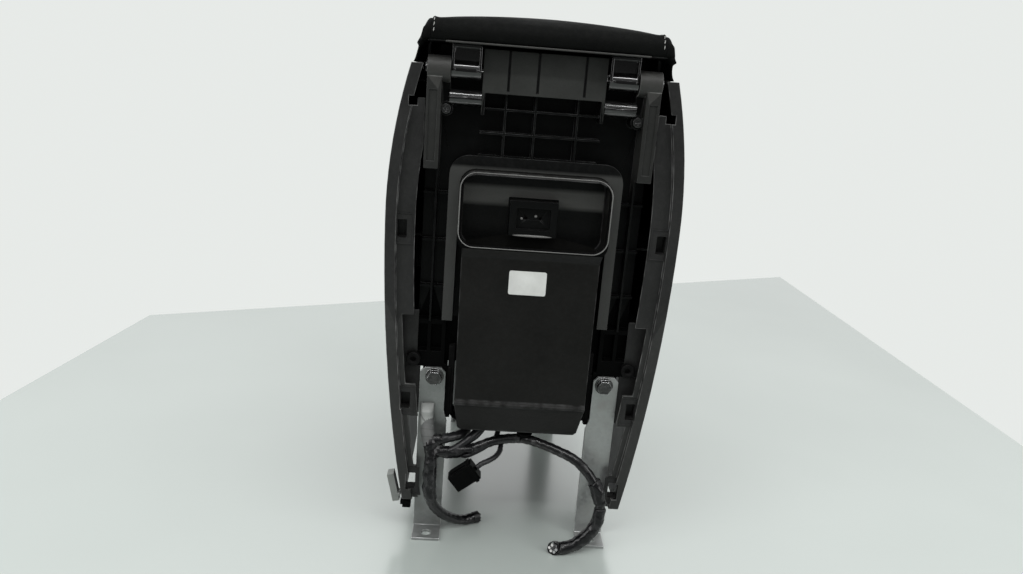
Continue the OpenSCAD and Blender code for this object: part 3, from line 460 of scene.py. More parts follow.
# Cut ends of the two bundles: seven wires with grey, white or dark plastic skins stand a little
# out of the tape's ragged rim.
def insulation(name, colour):
    """The plastic skin of a wire."""
    made, tree, shader = blank_material(name, {"Roughness": 0.45})
    place = add_node(tree, "TexCoord")
    streak = add_node(tree, "TexNoise", {"Vector": (place, "Object"), "Scale": 700.0})
    shade = add_node(tree, "Mix", {
        0: (streak, "Fac"), 6: (*colour, 1), 7: (*[c * 0.55 for c in colour], 1)}, data_type="RGBA")
    wire(tree, shade, 2, shader, "Base Color")
    return made


wire_skins = [
    insulation("grey_insulation", (0.42, 0.43, 0.43)),
    insulation("white_insulation", (0.72, 0.72, 0.70)),
    insulation("dark_insulation", (0.04, 0.04, 0.042)),
]


def cut_end(name, line, radius, seed, bend, kinds):
    """The wires' short ends at the end of a bundle, and the tape's rim round them."""
    dice = random.Random(seed)
    ahead = ((line[-1] - line[-3]).normalized() + Vector(bend)).normalized()
    lie = ahead.to_track_quat("Z", "Y").to_matrix().to_4x4()
    stub = bmesh.new()
    for i in range(7):
        angle = i * math.pi / 3.0
        off = 0.0 if i == 6 else radius * 0.58
        reach = 0.0024 + 0.0022 * dice.random()
        spot = Matrix.Translation((off * math.cos(angle), off * math.sin(angle), reach / 2.0 - 0.0006))
        made = bmesh.ops.create_cone(
            stub, cap_ends=True, segments=12, radius1=radius * 0.27, radius2=radius * 0.25,
            depth=reach + 0.0012, matrix=Matrix.Translation(line[-1]) @ lie @ spot)
        for face in dict.fromkeys(f for v in made["verts"] for f in v.link_faces):
            face.material_index = dice.choice(kinds)
    piece = finish_mesh(name, stub, wire_skins[0], "root")
    piece.data.materials.append(wire_skins[1])
    piece.data.materials.append(wire_skins[2])
    rim = bmesh.new()
    bmesh.ops.create_cone(
        rim, cap_ends=False, segments=28, radius1=radius * 1.0, radius2=radius * 1.04, depth=0.0052,
        matrix=Matrix.Translation(line[-1]) @ lie)
    for dot in rim.verts:
        if (dot.co - line[-1]).dot(ahead) > 0:
            dot.co += ahead * dice.uniform(-0.0007, 0.0007)
    bmesh.ops.solidify(rim, geom=rim.faces[:], thickness=-0.0005)
    for dot in rim.verts:
        dot.co.z = max(dot.co.z, table_gap)
    bmesh.ops.recalc_face_normals(rim, faces=rim.faces)
    edge = finish_mesh(name + "_rim", rim, lead_tape, "root")


cut_end("left_cut_end", left_line, 0.0046, 3, (0.0, 0.0, 0.0), (2, 2, 2, 0))
cut_end("right_cut_end", right_line, 0.0052, 8, (0.0, -1.2, 0.35), (0, 0, 1, 2))


# Side panels, and the small panel across the front: injection-moulded black plastic with a fine
# grain outside, clipped to the frame. Edges are broken by the mould, and catch the light, and
# their rubbed colour is partly painted highlight. The panels' lower rear faces are painted
# lighter, as painted light.
def grain_group():
    """Fine pits and pores of a moulded skin, and its broad mottling."""
    group, entry, leave = open_group("moulded_grain", ["Fineness"], ["Height", "Mottle"])
    place = add_node(group, "TexCoord")
    grain = add_node(group, "TexVoronoi", {
        "Vector": (place, "Object"), "Scale": (entry, "Fineness")}, feature="SMOOTH_F1")
    pores = add_node(group, "TexNoise", {
        "Vector": (place, "Object"), "Scale": (entry, "Fineness"), "Detail": 3.0})
    height = add_node(group, "Math", {0: (grain, "Distance"), 1: (pores, "Fac")}, operation="ADD")
    broad = add_node(group, "TexNoise", {
        "Vector": (place, "Object"), "Scale": 22.0, "Detail": 5.0, "Roughness": 0.6})
    wire(group, height, "Value", leave, "Height")
    wire(group, broad, "Fac", leave, "Mottle")
    return group


def edge_wear_and_highlight_group():
    """Rubs the broken edges towards a second, lighter colour in patches: partly real wear, partly painted
    highlights on the edges.
    """
    group, entry, leave = open_group("edge_wear_and_highlight", ["Colour", "Rubbed_and_lit", "Amount"], ["Colour", "Mask"])
    broken = add_node(group, "Attribute", attribute_name="broken_edge")
    place = add_node(group, "TexCoord")
    patch = add_node(group, "TexNoise", {"Vector": (place, "Object"), "Scale": 95.0, "Detail": 4.0})
    cover = add_node(group, "MapRange", {"Value": (patch, "Fac"), "From Min": 0.38, "From Max": 0.66})
    masked = add_node(group, "Math", {0: (broken, "Fac"), 1: (cover, "Result")}, operation="MULTIPLY")
    scaled = add_node(group, "Math", {0: (masked, "Value"), 1: (entry, "Amount")}, operation="MULTIPLY")
    blend = add_node(group, "Mix", {
        0: (scaled, "Value"), 6: (entry, "Colour"), 7: (entry, "Rubbed_and_lit")}, data_type="RGBA")
    wire(group, blend, 2, leave, "Colour")
    wire(group, scaled, "Value", leave, "Mask")
    return group


def dust_group():
    """Dust that lies thickest on faces that look up."""
    group, entry, leave = open_group("settled_dust", ["Colour", "Amount"], ["Colour", "Mask"])
    facing = add_node(group, "NewGeometry")
    split = add_node(group, "SeparateXYZ", {"Vector": (facing, "Normal")})
    upward = add_node(group, "MapRange", {
        "Value": (split, "Z"), "From Min": 0.2, "From Max": 0.95, "To Min": 0.18, "To Max": 1.0})
    place = add_node(group, "TexCoord")
    specks = add_node(group, "TexNoise", {
        "Vector": (place, "Object"), "Scale": 260.0, "Detail": 6.0, "Roughness": 0.7})
    thin = add_node(group, "MapRange", {"Value": (specks, "Fac"), "From Min": 0.44, "From Max": 0.74})
    both = add_node(group, "Math", {0: (upward, "Result"), 1: (thin, "Result")}, operation="MULTIPLY")
    scaled = add_node(group, "Math", {0: (both, "Value"), 1: (entry, "Amount")}, operation="MULTIPLY")
    blend = add_node(group, "Mix", {
        0: (scaled, "Value"), 6: (entry, "Colour"), 7: (0.34, 0.34, 0.33, 1)}, data_type="RGBA")
    wire(group, blend, 2, leave, "Colour")
    wire(group, scaled, "Value", leave, "Mask")
    return group


def painted_light_band_group():
    """A mask between two heights, with soft ends, for a band of painted light."""
    group, entry, leave = open_group("painted_light_band", ["Low", "High", "Soft"], ["Mask"])
    place = add_node(group, "TexCoord")
    split = add_node(group, "SeparateXYZ", {"Vector": (place, "Object")})
    ends = []
    for first, first_out, second, second_out in ((split, "Z", entry, "Low"), (entry, "High", split, "Z")):
        past = add_node(group, "Math", {
            0: (first, first_out), 1: (second, second_out)}, operation="SUBTRACT")
        share = add_node(group, "Math", {
            0: (past, "Value"), 1: (entry, "Soft")}, operation="DIVIDE", use_clamp=True)
        ends.append(share)
    both = add_node(group, "Math", {0: (ends[0], "Value"), 1: (ends[1], "Value")}, operation="MULTIPLY")
    wire(group, both, "Value", leave, "Mask")
    return group


painted_light_band = painted_light_band_group()
moulded_grain = grain_group()
edge_wear_and_highlight = edge_wear_and_highlight_group()
settled_dust = dust_group()


def moulding(
        name, colour, rubbed_and_lit_edge, roughness, fineness, depth, wear_and_highlight=0.6, dust=0.15, spread=0.14, shine=0.3,
        band=None, painted_light=None):
    """A moulded plastic or rubber finish: grain, mottling, rubbed edges that also carry painted highlights,
    dust, and, where a band is given, painted light between two heights.
    """
    made, tree, shader = blank_material(name, {"IOR": 1.46, "Specular IOR Level": shine})
    grain = add_node(tree, "Group", {"Fineness": fineness}, node_tree=moulded_grain)
    tone = add_node(tree, "ValToRGB", {"Fac": (grain, "Mottle")})
    tone.color_ramp.elements[0].position = 0.3
    tone.color_ramp.elements[0].color = (*[c * 0.78 for c in colour], 1)
    tone.color_ramp.elements[1].position = 0.7
    tone.color_ramp.elements[1].color = (*[c * 1.18 for c in colour], 1)
    paint = tone
    paint_out = "Color"
    # Where a band is given, the colour is painted lighter between its two heights: painted light.
    if band:
        level = add_node(tree, "Group", {
            "Low": band[0], "High": band[1], "Soft": band[2]}, node_tree=painted_light_band)
        paint = add_node(tree, "Mix", {
            0: (level, "Mask"), 6: (tone, "Color"), 7: (*painted_light, 1)}, data_type="RGBA")
        paint_out = 2
    edges = add_node(tree, "Group", {
        "Colour": (paint, paint_out), "Rubbed_and_lit": (*rubbed_and_lit_edge, 1), "Amount": wear_and_highlight}, node_tree=edge_wear_and_highlight)
    film = add_node(tree, "Group", {"Colour": (edges, "Colour"), "Amount": dust}, node_tree=settled_dust)
    wire(tree, film, "Colour", shader, "Base Color")
    gloss = add_node(tree, "MapRange", {
        "Value": (grain, "Mottle"), "From Min": 0.3, "From Max": 0.7,
        "To Min": roughness - spread / 2.0, "To Max": roughness + spread / 2.0})
    wire(tree, gloss, "Result", shader, "Roughness")
    relief = add_node(tree, "Bump", {"Height": (grain, "Height"), "Strength": 0.5, "Distance": depth})
    wire(tree, relief, "Normal", shader, "Normal")
    return made


def cut_large_faces(shape):
    """Cuts the faces that have more than four corners into triangles."""
    bmesh.ops.triangulate(shape, faces=[f for f in shape.faces if len(f.verts) > 4])


def softened(node, material, width, segments=2):
    """A copy of a moulding with its sharp edges broken, in place of the plain one."""
    shape = opened(frame["nodes"][node].data)
    bmesh.ops.remove_doubles(shape, verts=shape.verts, dist=0.00001)
    mark = shape.faces.layers.float.new("broken_edge")
    crisp_angle = math.radians(32.0)
    crisp = []
    for edge in shape.edges:
        if len(edge.link_faces) == 2 and edge.calc_face_angle(0.0) > crisp_angle:
            if edge.calc_length() > width * 1.2:
                crisp.append(edge)
    made = bmesh.ops.bevel(
        shape, geom=crisp, offset=width, offset_type="OFFSET", segments=segments, profile=0.5,
        affect="EDGES", material=-1, clamp_overlap=False, loop_slide=True)
    for face in made["faces"]:
        face[mark] = 1.0
    cut_large_faces(shape)
    piece = finish_mesh(node + "_moulding", shape, material, frame["nodes"][node]["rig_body"], 50.0)
    level = piece.modifiers.new("level", "WEIGHTED_NORMAL")
    level.keep_sharp = True
    level.weight = 90
    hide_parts(node)
    return piece


panel_finish = moulding(
    "panel_finish", (0.014, 0.014, 0.0138), (0.14, 0.14, 0.138), 0.42, 1400.0, 0.00012, wear_and_highlight=0.8,
    dust=0.10)
# A lighter copy of the panels' finish: painted light on their lower rear faces.
lower_rear_painted_light = moulding(
    "lower_rear_painted_light", (0.022, 0.0225, 0.0215), (0.14, 0.14, 0.138), 0.45, 1400.0, 0.00012, wear_and_highlight=0.8,
    dust=0.12)
for node in ("side_panel_left", "side_panel_right"):
    panel = softened(node, panel_finish, 0.0005)
    panel.data.materials.append(lower_rear_painted_light)
    for side in panel.data.polygons:
        side.material_index = int(side.center.z < 0.207 and side.center.y < -0.1395)
softened("front_trim", panel_finish, 0.0005)


# Raised frames round the clip slots, each with a pocket behind it for the rear trim's clip. The
# lowest pair is open right through.
def skin_of(mesh):
    """The faces of a mesh, for rays to find."""
    shape = opened(mesh)
    skin = BVHTree.FromBMesh(shape)
    shape.free()
    return skin


both_sides = (("left", -1), ("right", 1))
slot_width = 0.0080
slot_height = 0.0150
slot_depth = 0.0100


def clip_frame(name, panel_skin, x, z, width, height):
    """A raised rim round a clip slot, set on the flange that a ray from behind finds."""
    back = panel_skin.ray_cast(Vector((x, -0.3, z + 0.011)), Vector((0, 1, 0)))[0].y
    shape = bmesh.new()
    outer = []
    for dx, dz in ((-1, -1), (1, -1), (1, 1), (-1, 1)):
        outer.append(shape.verts.new((x + dx * width / 2, back - 0.0008, z + dz * height / 2)))
    plate = shape.faces.new(outer)
    for inward, drop in ((0.0012, 0.0), (0.0003, 0.0005), (0.0030, 0.0)):
        shape.normal_update()
        bmesh.ops.inset_individual(shape, faces=[plate], thickness=inward, depth=0.0)
        for dot in plate.verts:
            dot.co.y += drop
    for dot in plate.verts:
        dot.co.x = x + math.copysign(slot_width / 2, dot.co.x - x)
        dot.co.z = z + math.copysign(slot_height / 2, dot.co.z - z)
    bmesh.ops.delete(shape, geom=[plate], context="FACES_ONLY")
    rims = [e for e in shape.edges if e.is_boundary]
    skirt = bmesh.ops.extrude_edge_only(shape, edges=rims)
    for dot in [g for g in skirt["geom"] if isinstance(g, bmesh.types.BMVert)]:
        dot.co.y = back + (0.0002 if abs(dot.co.x - x) > 0.005 else slot_depth)
    bmesh.ops.recalc_face_normals(shape, faces=shape.faces)
    facing = max(shape.faces, key=lambda f: f.calc_area() * abs(f.normal.y))
    if facing.normal.y > 0:
        bmesh.ops.reverse_faces(shape, faces=shape.faces)
    piece = finish_mesh(name, shape, panel_finish, "root", 30.0)


for side, sign in both_sides:
    panel_skin = skin_of(frame["nodes"]["side_panel_" + side].data)
    for number, (x, z, width) in enumerate(
            ((0.1065, 0.280, 0.0185), (0.0981, 0.130, 0.0175), (0.0906, 0.053, 0.0150))):
        clip_frame("clip_frame_%s_%d" % (side, number + 1), panel_skin, sign * x, z, width, 0.026)
        if number < 2:
            cup = bmesh.new()
            bmesh.ops.create_grid(
                cup, x_segments=2, y_segments=2, size=0.5,
                matrix=Matrix.Translation((sign * x, -0.1365, z)) @ Matrix.Rotation(math.pi / 2, 4, "X")
                @ Matrix.Diagonal((0.010, 0.018, 1.0, 1.0)))
            bmesh.ops.solidify(cup, geom=cup.faces[:], thickness=0.0008)
            bmesh.ops.recalc_face_normals(cup, faces=cup.faces)
            backing = finish_mesh("clip_pocket_%s_%d" % (side, number + 1), cup, panel_finish, "root")


# Webs: thin upright walls moulded inside the panels. They close the gaps between the narrow
# flange, the frame's lugs and the legs.
def block(shape, centre, size):
    """Adds a plain box of the given size."""
    bmesh.ops.create_cube(
        shape, size=1.0, matrix=Matrix.Translation(centre) @ Matrix.Diagonal((*size, 1.0)))


def round_edges(shape, edges, width, segments):
    """Rounds the given edges of a shape."""
    bmesh.ops.bevel(
        shape, geom=edges, offset=width, offset_type="OFFSET", segments=segments, profile=0.5,
        affect="EDGES", material=-1)


for side, sign in both_sides:
    for number, (x0, x1, z0, z1, flare) in enumerate(
            ((0.0873, 0.1078, 0.1130, 0.1575, 0.0045), (0.0905, 0.1122, 0.1577, 0.2080, 0.0034))):
        web_shape = bmesh.new()
        block(web_shape, (sign * (x0 + x1) / 2, -0.1330, (z0 + z1) / 2), (x1 - x0, 0.0016, z1 - z0))
        for dot in web_shape.verts:
            if abs(dot.co.x) > x1 - 0.0001 and dot.co.z > z1 - 0.0001:
                dot.co.x += sign * flare
        round_edges(web_shape, web_shape.edges[:], 0.0004, 2)
        web = finish_mesh("panel_web_%s_%d" % (side, number + 1), web_shape, panel_finish, "root", 50.0)


# Seals: strips of soft black foam, stuck along the panels' top edges. They close the gap under
# the lid and keep it from rattling.
seal_finish = moulding(
    "seal_finish", (0.008, 0.008, 0.008), (0.02, 0.02, 0.02), 0.9, 900.0, 0.0003, wear_and_highlight=0.0, dust=0.04,
    spread=0.05, shine=0.06)
for side, sign in both_sides:
    seal_shape = bmesh.new()
    block(seal_shape, (sign * 0.0985, 0.003, 0.4098), (0.0050, 0.270, 0.0030))
    round_edges(seal_shape, seal_shape.edges[:], 0.0009, 3)
    seal = finish_mesh("lid_seal_" + side, seal_shape, seal_finish, "root", 50.0)


# Inner frame: the structural moulding with the hinge barrels, the ribbed rear wall and the collar
# round the duct. It is left as moulded, a little shinier than the trim, and duller on its lugs,
# which are also painted darker, as painted shade. Its barrels, posts and centre panel are painted
# lighter, as painted light.
frame_finish = moulding(
    "frame_finish", (0.0028, 0.0030, 0.0030), (0.06, 0.06, 0.06), 0.34, 900.0, 0.00008, wear_and_highlight=0.8,
    dust=0.02, shine=0.13)
# Lighter copies of the frame's finish: painted light on the posts, the centre panel and the barrels, and a
# painted highlight on the lid's hem.
post_painted_light = moulding(
    "post_painted_light", (0.0145, 0.0150, 0.0140), (0.10, 0.10, 0.10), 0.46, 900.0, 0.00008, wear_and_highlight=0.5,
    dust=0.06)
painted_light_centre_finish = moulding(
    "painted_light_centre_finish", (0.0235, 0.0245, 0.0228), (0.10, 0.10, 0.10), 0.46, 900.0, 0.00008, wear_and_highlight=0.5,
    dust=0.06)
frame_painted_light = moulding(
    "frame_painted_light", (0.034, 0.034, 0.032), (0.16, 0.16, 0.155), 0.50, 700.0, 0.0001, wear_and_highlight=0.9, dust=0.10)
# The collar is painted lighter between 190 and 334.5 mm height, as painted light, and stays dark below.
collar_finish = moulding(
    "collar_finish", (0.0028, 0.0030, 0.0030), (0.05, 0.05, 0.05), 0.45, 700.0, 0.0001, wear_and_highlight=0.7,
    dust=0.06, shine=0.13, band=(0.190, 0.3345, 0.003), painted_light=(0.043, 0.044, 0.042))
# Darker and duller: on the frame's lugs and round the duct's mouth the darker colour is painted shade; the
# small black fittings take it as their own colour.
lug_finish = moulding(
    "lug_finish", (0.0012, 0.0013, 0.0013), (0.02, 0.02, 0.02), 0.5, 900.0, 0.00008, wear_and_highlight=0.3, dust=0.01,
    shine=0.05)
inner_frame = softened("inner_frame", frame_finish, 0.0004)
for finish in (painted_light_centre_finish, frame_painted_light, collar_finish, lug_finish, post_painted_light):
    inner_frame.data.materials.append(finish)
plain, lit_centre, dull_stain_and_barrel_light, collar, lug, lit_post = range(6)
worn = inner_frame.data.attributes["broken_edge"].data
# Barrels, posts and centre panel take the painted light. The centre panel's grooves keep the dark finish,
# as painted shade, and its edges lose their rubbed colour. Low down and on the sides the rubbed edges,
# which are partly painted highlights, are weakened, as painted shade.
for side in inner_frame.data.polygons:
    x, y, z = side.center
    out = abs(x)
    if z > 0.396 and out > 0.0732 and y < -0.125:
        side.material_index = dull_stain_and_barrel_light
    elif z > 0.326 and out > 0.0785 and y < -0.12:
        side.material_index = lit_post
    elif z > 0.390 and out < 0.0486 and y < -0.1385:
        in_groove = min(abs(x - line) for line in (-0.0283, -0.0053, 0.0317)) < 0.0012
        side.material_index = plain if in_groove and side.area < 0.00008 else lit_centre
        worn[side.index].value = 0.0
    elif z < 0.345 and out < 0.0715 and y < -0.1375:
        side.material_index = collar
    elif z < 0.214 and y < -0.115:
        side.material_index = lug
    if z < 0.215 or (out > 0.062 and z < 0.33):
        worn[side.index].value *= 0.3
    elif z < 0.392:
        worn[side.index].value *= 0.5


# Air duct: a blow-moulded black pipe of flat section, so its edges are rounder than the trim's
# and its skin is faintly wavy. It stands in the frame's collar, and its mouth is left open.
duct_finish = moulding(
    "duct_finish", (0.0068, 0.0068, 0.0063), (0.05, 0.05, 0.05), 0.40, 420.0, 0.0002, wear_and_highlight=0.7, dust=0.04,
    shine=0.15)
# Inside the mouth the duct is painted darker, as painted shade, with a band of painted light near the top.
mouth_finish = moulding(
    "mouth_finish", (0.0024, 0.0026, 0.0026), (0.05, 0.05, 0.05), 0.40, 420.0, 0.0002, wear_and_highlight=0.4,
    dust=0.03, shine=0.2, band=(0.300, 0.3190, 0.004), painted_light=(0.105, 0.105, 0.100))
air_duct = softened("air_duct", duct_finish, 0.0009, 3)
for finish in (mouth_finish, frame_finish, lug_finish):
    air_duct.data.materials.append(finish)
mouth, pocket, rim = range(1, 4)
duct_edge_wear_and_light = air_duct.data.attributes["broken_edge"].data
# The mouth's inside takes that finish. The pocket takes the frame's darker finish, out of the band, and the
# rim round the mouth the lugs' darker one: both are painted shade. The pocket, the rim and the strip below
# the mouth lose their rubbed edges, which are partly painted highlights.
for side in air_duct.data.polygons:
    x, y, z = side.center
    if abs(x) < 0.0225 and 0.2765 < z < 0.3130 and y > -0.1535:
        side.material_index = pocket
        duct_edge_wear_and_light[side.index].value = 0.0
    elif 0.262 < z < 0.3285 and -0.1545 < y < -0.112 and abs(x) < 0.0588:
        side.material_index = mouth
    elif z > 0.2675 and y < -0.1535:
        side.material_index = rim
        duct_edge_wear_and_light[side.index].value = 0.0
    elif 0.250 < z < 0.270 and y < -0.14:
        duct_edge_wear_and_light[side.index].value = 0.0


# Mouth's lip: the duct's own edge, rolled outwards by the mould, painted light grey as a painted
# highlight. The pocket inside has a lip of its own and two small pins, painted light grey the
# same way.
duct_skin = skin_of(frame["nodes"]["air_duct"].data)
corner_x = 0.0482
corner_radius = 0.0126
lip_line = []
for centre_x, centre_z, first in (
        (corner_x, 0.3172, 0), (-corner_x, 0.3172, 90), (-corner_x, 0.2828, 180), (corner_x, 0.2828, 270)):
    for angle in range(first, first + 91, 10):
        turn = math.radians(angle)
        aside = corner_radius * math.cos(turn)
        dot = Vector((centre_x + aside, -0.3, centre_z + corner_radius * math.sin(turn)))
        dot.y = duct_skin.ray_cast(dot, Vector((0, 1, 0)))[0].y + 0.0001
        lip_line.append(dot)
lip_line.append(lip_line[0].copy())
painted_highlight_finish = moulding(
    "painted_highlight_finish", (0.150, 0.150, 0.145), (0.30, 0.30, 0.29), 0.35, 420.0, 0.0001, wear_and_highlight=0.0, dust=0.3)
lip_shape = opened(tube_mesh("mouth_lip", lip_line, 0.00045, 3))
lumpy(lip_shape, 90.0, 0.00025, 4)
mouth_lip = finish_mesh("mouth_lip", lip_shape, painted_highlight_finish, "root", 60.0)

pocket_shape = bmesh.new()
for x, z, across, high in (
        (0.0, 0.2790, 0.0165, 0.0011), (0.0022, 0.2950, 0.0012, 0.0012), (-0.0096, 0.2925, 0.0012, 0.0012)):
    spot = duct_skin.ray_cast(Vector((x, -0.3, z)), Vector((0, 1, 0)))[0]
    bmesh.ops.create_uvsphere(
        pocket_shape, u_segments=16, v_segments=10, radius=1.0,
        matrix=Matrix.Translation(spot) @ Matrix.Diagonal((across, 0.0010, high, 1.0)))
pocket_details = finish_mesh("pocket_details", pocket_shape, painted_highlight_finish, "root", 60.0)


# Felt strips: cut from black felt and glued to the duct's sides, where they keep it from
# rattling against the legs.
felt_finish = moulding(
    "felt_finish", (0.006, 0.006, 0.006), (0.02, 0.02, 0.02), 0.95, 2200.0, 0.0004, wear_and_highlight=0.0, dust=0.05,
    spread=0.05, shine=0.05)
for side, sign in both_sides:
    felt_shape = bmesh.new()
    for centre, size in (
            ((0.0606, -0.1250, 0.1445), (0.0058, 0.014, 0.064)),
            ((0.0650, -0.1300, 0.1330), (0.0100, 0.005, 0.048))):
        block(felt_shape, (sign * centre[0], centre[1], centre[2]), size)
    round_edges(felt_shape, felt_shape.edges[:], 0.0012, 3)
    bmesh.ops.subdivide_edges(felt_shape, edges=felt_shape.edges[:], cuts=2, use_grid_fill=True)
    lumpy(felt_shape, 400.0, 0.0003, 6)
    felt = finish_mesh("felt_strip_" + side, felt_shape, felt_finish, "root", 60.0)


# Storage bin: a deep black tray moulded with a rim, hung in the frame under the lid. A ribbed
# rubber mat lies loose on its floor.
bin_finish = moulding("bin_finish", (0.010, 0.010, 0.010), (0.05, 0.05, 0.05), 0.50, 1100.0, 0.0001)
softened("storage_bin", bin_finish, 0.0005)
mat_finish = moulding("mat_finish", (0.014, 0.014, 0.014), (0.05, 0.05, 0.05), 0.75, 600.0, 0.0003)
softened("bin_mat", mat_finish, 0.0004)


# Hinge arms and stop bars: glossy black mouldings. The arms are screwed to the lid's base and
# turn on the pins in the barrels, and the bars below them stop the lid.
gloss_finish = moulding(
    "gloss_finish", (0.004, 0.004, 0.004), (0.05, 0.05, 0.05), 0.11, 300.0, 0.00002, wear_and_highlight=0.4, dust=0.02,
    spread=0.06, shine=1.0)
for node in ("hinge_arm_left", "hinge_arm_right", "stop_bar_left", "stop_bar_right"):
    softened(node, gloss_finish, 0.0005)


# Lid's base and inner cover: plain black mouldings screwed together round the arms. Rubber
# buffers, the pads beside the legs and the wiring's grommet share one soft black rubber.
for node in ("lid_base", "lid_inner_cover"):
    softened(node, bin_finish, 0.0005)
rubber_finish = moulding(
    "rubber_finish", (0.0035, 0.0035, 0.0035), (0.03, 0.03, 0.03), 0.6, 700.0, 0.0002, wear_and_highlight=0.3,
    dust=0.03, spread=0.1, shine=0.1)
for node in ("bump_stops", "leg_pads", "cable_grommet"):
    softened(node, rubber_finish, 0.0004)


# Legs: galvanised sheet steel, punched and folded, and bolted to the frame's lugs. The left
# rear one is painted darker, as painted shade. Bolts and hinge pins are zinc-plated and darker,
# and the screws that hold the frame and the lid are black.
def spangle_group():
    """The crystals of a zinc coat, and the stains on it."""
    group, entry, leave = open_group("zinc_spangle", ["Grain"], ["Shade", "Stain"])
    place = add_node(group, "TexCoord")
    crystals = add_node(group, "TexVoronoi", {"Vector": (place, "Object"), "Scale": (entry, "Grain")})
    split = add_node(group, "SeparateColor", {"Color": (crystals, "Color")})
    haze = add_node(group, "TexNoise", {"Vector": (place, "Object"), "Scale": 60.0, "Detail": 6.0})
    stain = add_node(group, "MapRange", {"Value": (haze, "Fac"), "From Min": 0.5, "From Max": 0.75})
    wire(group, split, "Red", leave, "Shade")
    wire(group, stain, "Result", leave, "Stain")
    return group


zinc_spangle = spangle_group()


def zinc(name, dark, light, dull_stain_and_barrel_light, grain, roughness):
    """Galvanised steel: zinc crystals of two shades, dulled in patches and bright on its edges."""
    made, tree, shader = blank_material(name, {"Metallic": 0.75})
    crystals = add_node(tree, "Group", {"Grain": grain}, node_tree=zinc_spangle)
    tone = add_node(tree, "Mix", {
        0: (crystals, "Shade"), 6: (*dark, 1), 7: (*light, 1)}, data_type="RGBA")
    dulled = add_node(tree, "Mix", {
        0: (crystals, "Stain"), 6: (tone, 2), 7: (*dull_stain_and_barrel_light, 1)}, data_type="RGBA")
    edges = add_node(tree, "Group", {
        "Colour": (dulled, 2), "Rubbed_and_lit": (0.86, 0.87, 0.87, 1), "Amount": 0.9}, node_tree=edge_wear_and_highlight)
    wire(tree, edges, "Colour", shader, "Base Color")
    gloss = add_node(tree, "MapRange", {
        "Value": (crystals, "Shade"), "To Min": roughness - 0.08, "To Max": roughness + 0.12})
    wire(tree, gloss, "Result", shader, "Roughness")
    return made


leg_finish = zinc("leg_finish", (0.33, 0.34, 0.335), (0.38, 0.39, 0.385), (0.30, 0.30, 0.29), 420.0, 0.36)
# A darker copy of the zinc for the left rear leg: painted shade.
shaded_leg_finish = zinc(
    "shaded_leg_finish", (0.24, 0.25, 0.245), (0.28, 0.29, 0.285), (0.21, 0.21, 0.205), 420.0, 0.42)
for node in ("rear_leg_left", "rear_leg_right", "front_leg_left", "front_leg_right"):
    softened(node, shaded_leg_finish if node == "rear_leg_left" else leg_finish, 0.0003)
bolt_finish = zinc(
    "bolt_finish", (0.045, 0.045, 0.045), (0.075, 0.075, 0.073), (0.03, 0.03, 0.03), 700.0, 0.22)
for node in ("rear_leg_bolts", "front_leg_bolts", "hinge_pin_left", "hinge_pin_right"):
    softened(node, bolt_finish, 0.0003)
screw_finish = moulding(
    "screw_finish", (0.010, 0.010, 0.010), (0.12, 0.12, 0.12), 0.25, 800.0, 0.00003, wear_and_highlight=0.8, dust=0.04,
    spread=0.1, shine=0.6)
for node in ("frame_screws", "lid_screws"):
    softened(node, screw_finish, 0.0002)


# Duct's label: white film with rounded corners, bare, stuck to the duct. The small plastic
# fittings are a pale trim clip with its nut, and the harness's own clip and plug.
label_finish = moulding(
    "label_finish", (0.56, 0.57, 0.55), (0.6, 0.6, 0.6), 0.45, 500.0, 0.00003, wear_and_highlight=0.3, dust=0.05)
shape = opened(frame["nodes"]["duct_label"].data)
bmesh.ops.remove_doubles(shape, verts=shape.verts, dist=0.00001)
bmesh.ops.dissolve_limit(shape, angle_limit=0.01, verts=shape.verts, edges=shape.edges)
corners = [e for e in shape.edges if e.calc_length() < 0.001]
round_edges(shape, corners, 0.0017, 5)
cut_large_faces(shape)
bare_duct_label = finish_mesh("bare_duct_label", shape, label_finish, "root", 40.0)
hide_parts("duct_label")
clip_finish = moulding("clip_finish", (0.16, 0.17, 0.16), (0.3, 0.3, 0.3), 0.5, 600.0, 0.0001)
softened("side_clip", clip_finish, 0.0004)
for node in ("side_clip_nut", "harness_clip", "harness_connector"):
    softened(node, lug_finish, 0.0003)


# Lid cushion: foam under a sewn cover of grained black leatherette. The cover is drawn tight over
# the plate, so it only swells a little between its seams, which run along both shoulders.
cover_finish = moulding(
    "cover_finish", (0.0028, 0.0031, 0.0029), (0.03, 0.03, 0.03), 0.56, 1250.0, 0.00022, wear_and_highlight=0.3,
    dust=0.015, spread=0.12, shine=0.035)
seam_x = 0.0895
plate_x = 0.0935
cover_foot = 0.4135
most_swell = 0.0032
low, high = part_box("lid_cushion")
foam_shape = opened(frame["nodes"]["lid_cushion"].data)
bmesh.ops.remove_doubles(foam_shape, verts=foam_shape.verts, dist=0.00001)
foam_mesh = bpy.data.meshes.new("foam")
foam_shape.to_mesh(foam_mesh)
foam_shape.free()
foam_mesh = reshaped(foam_mesh, "foam", "REMESH", mode="VOXEL", voxel_size=0.004)


def inside_cover(place):
    """Whether a point lies on the side of the cushion that is glued to the plate."""
    under = abs(place.x) < plate_x + 0.0012 and place.z < 0.4309
    behind = place.y > low[1] + 0.0038 and place.y < high[1] - 0.0038
    return (under and behind) or place.z < cover_foot or (place.z < 0.4285 and place.y < -0.1385)


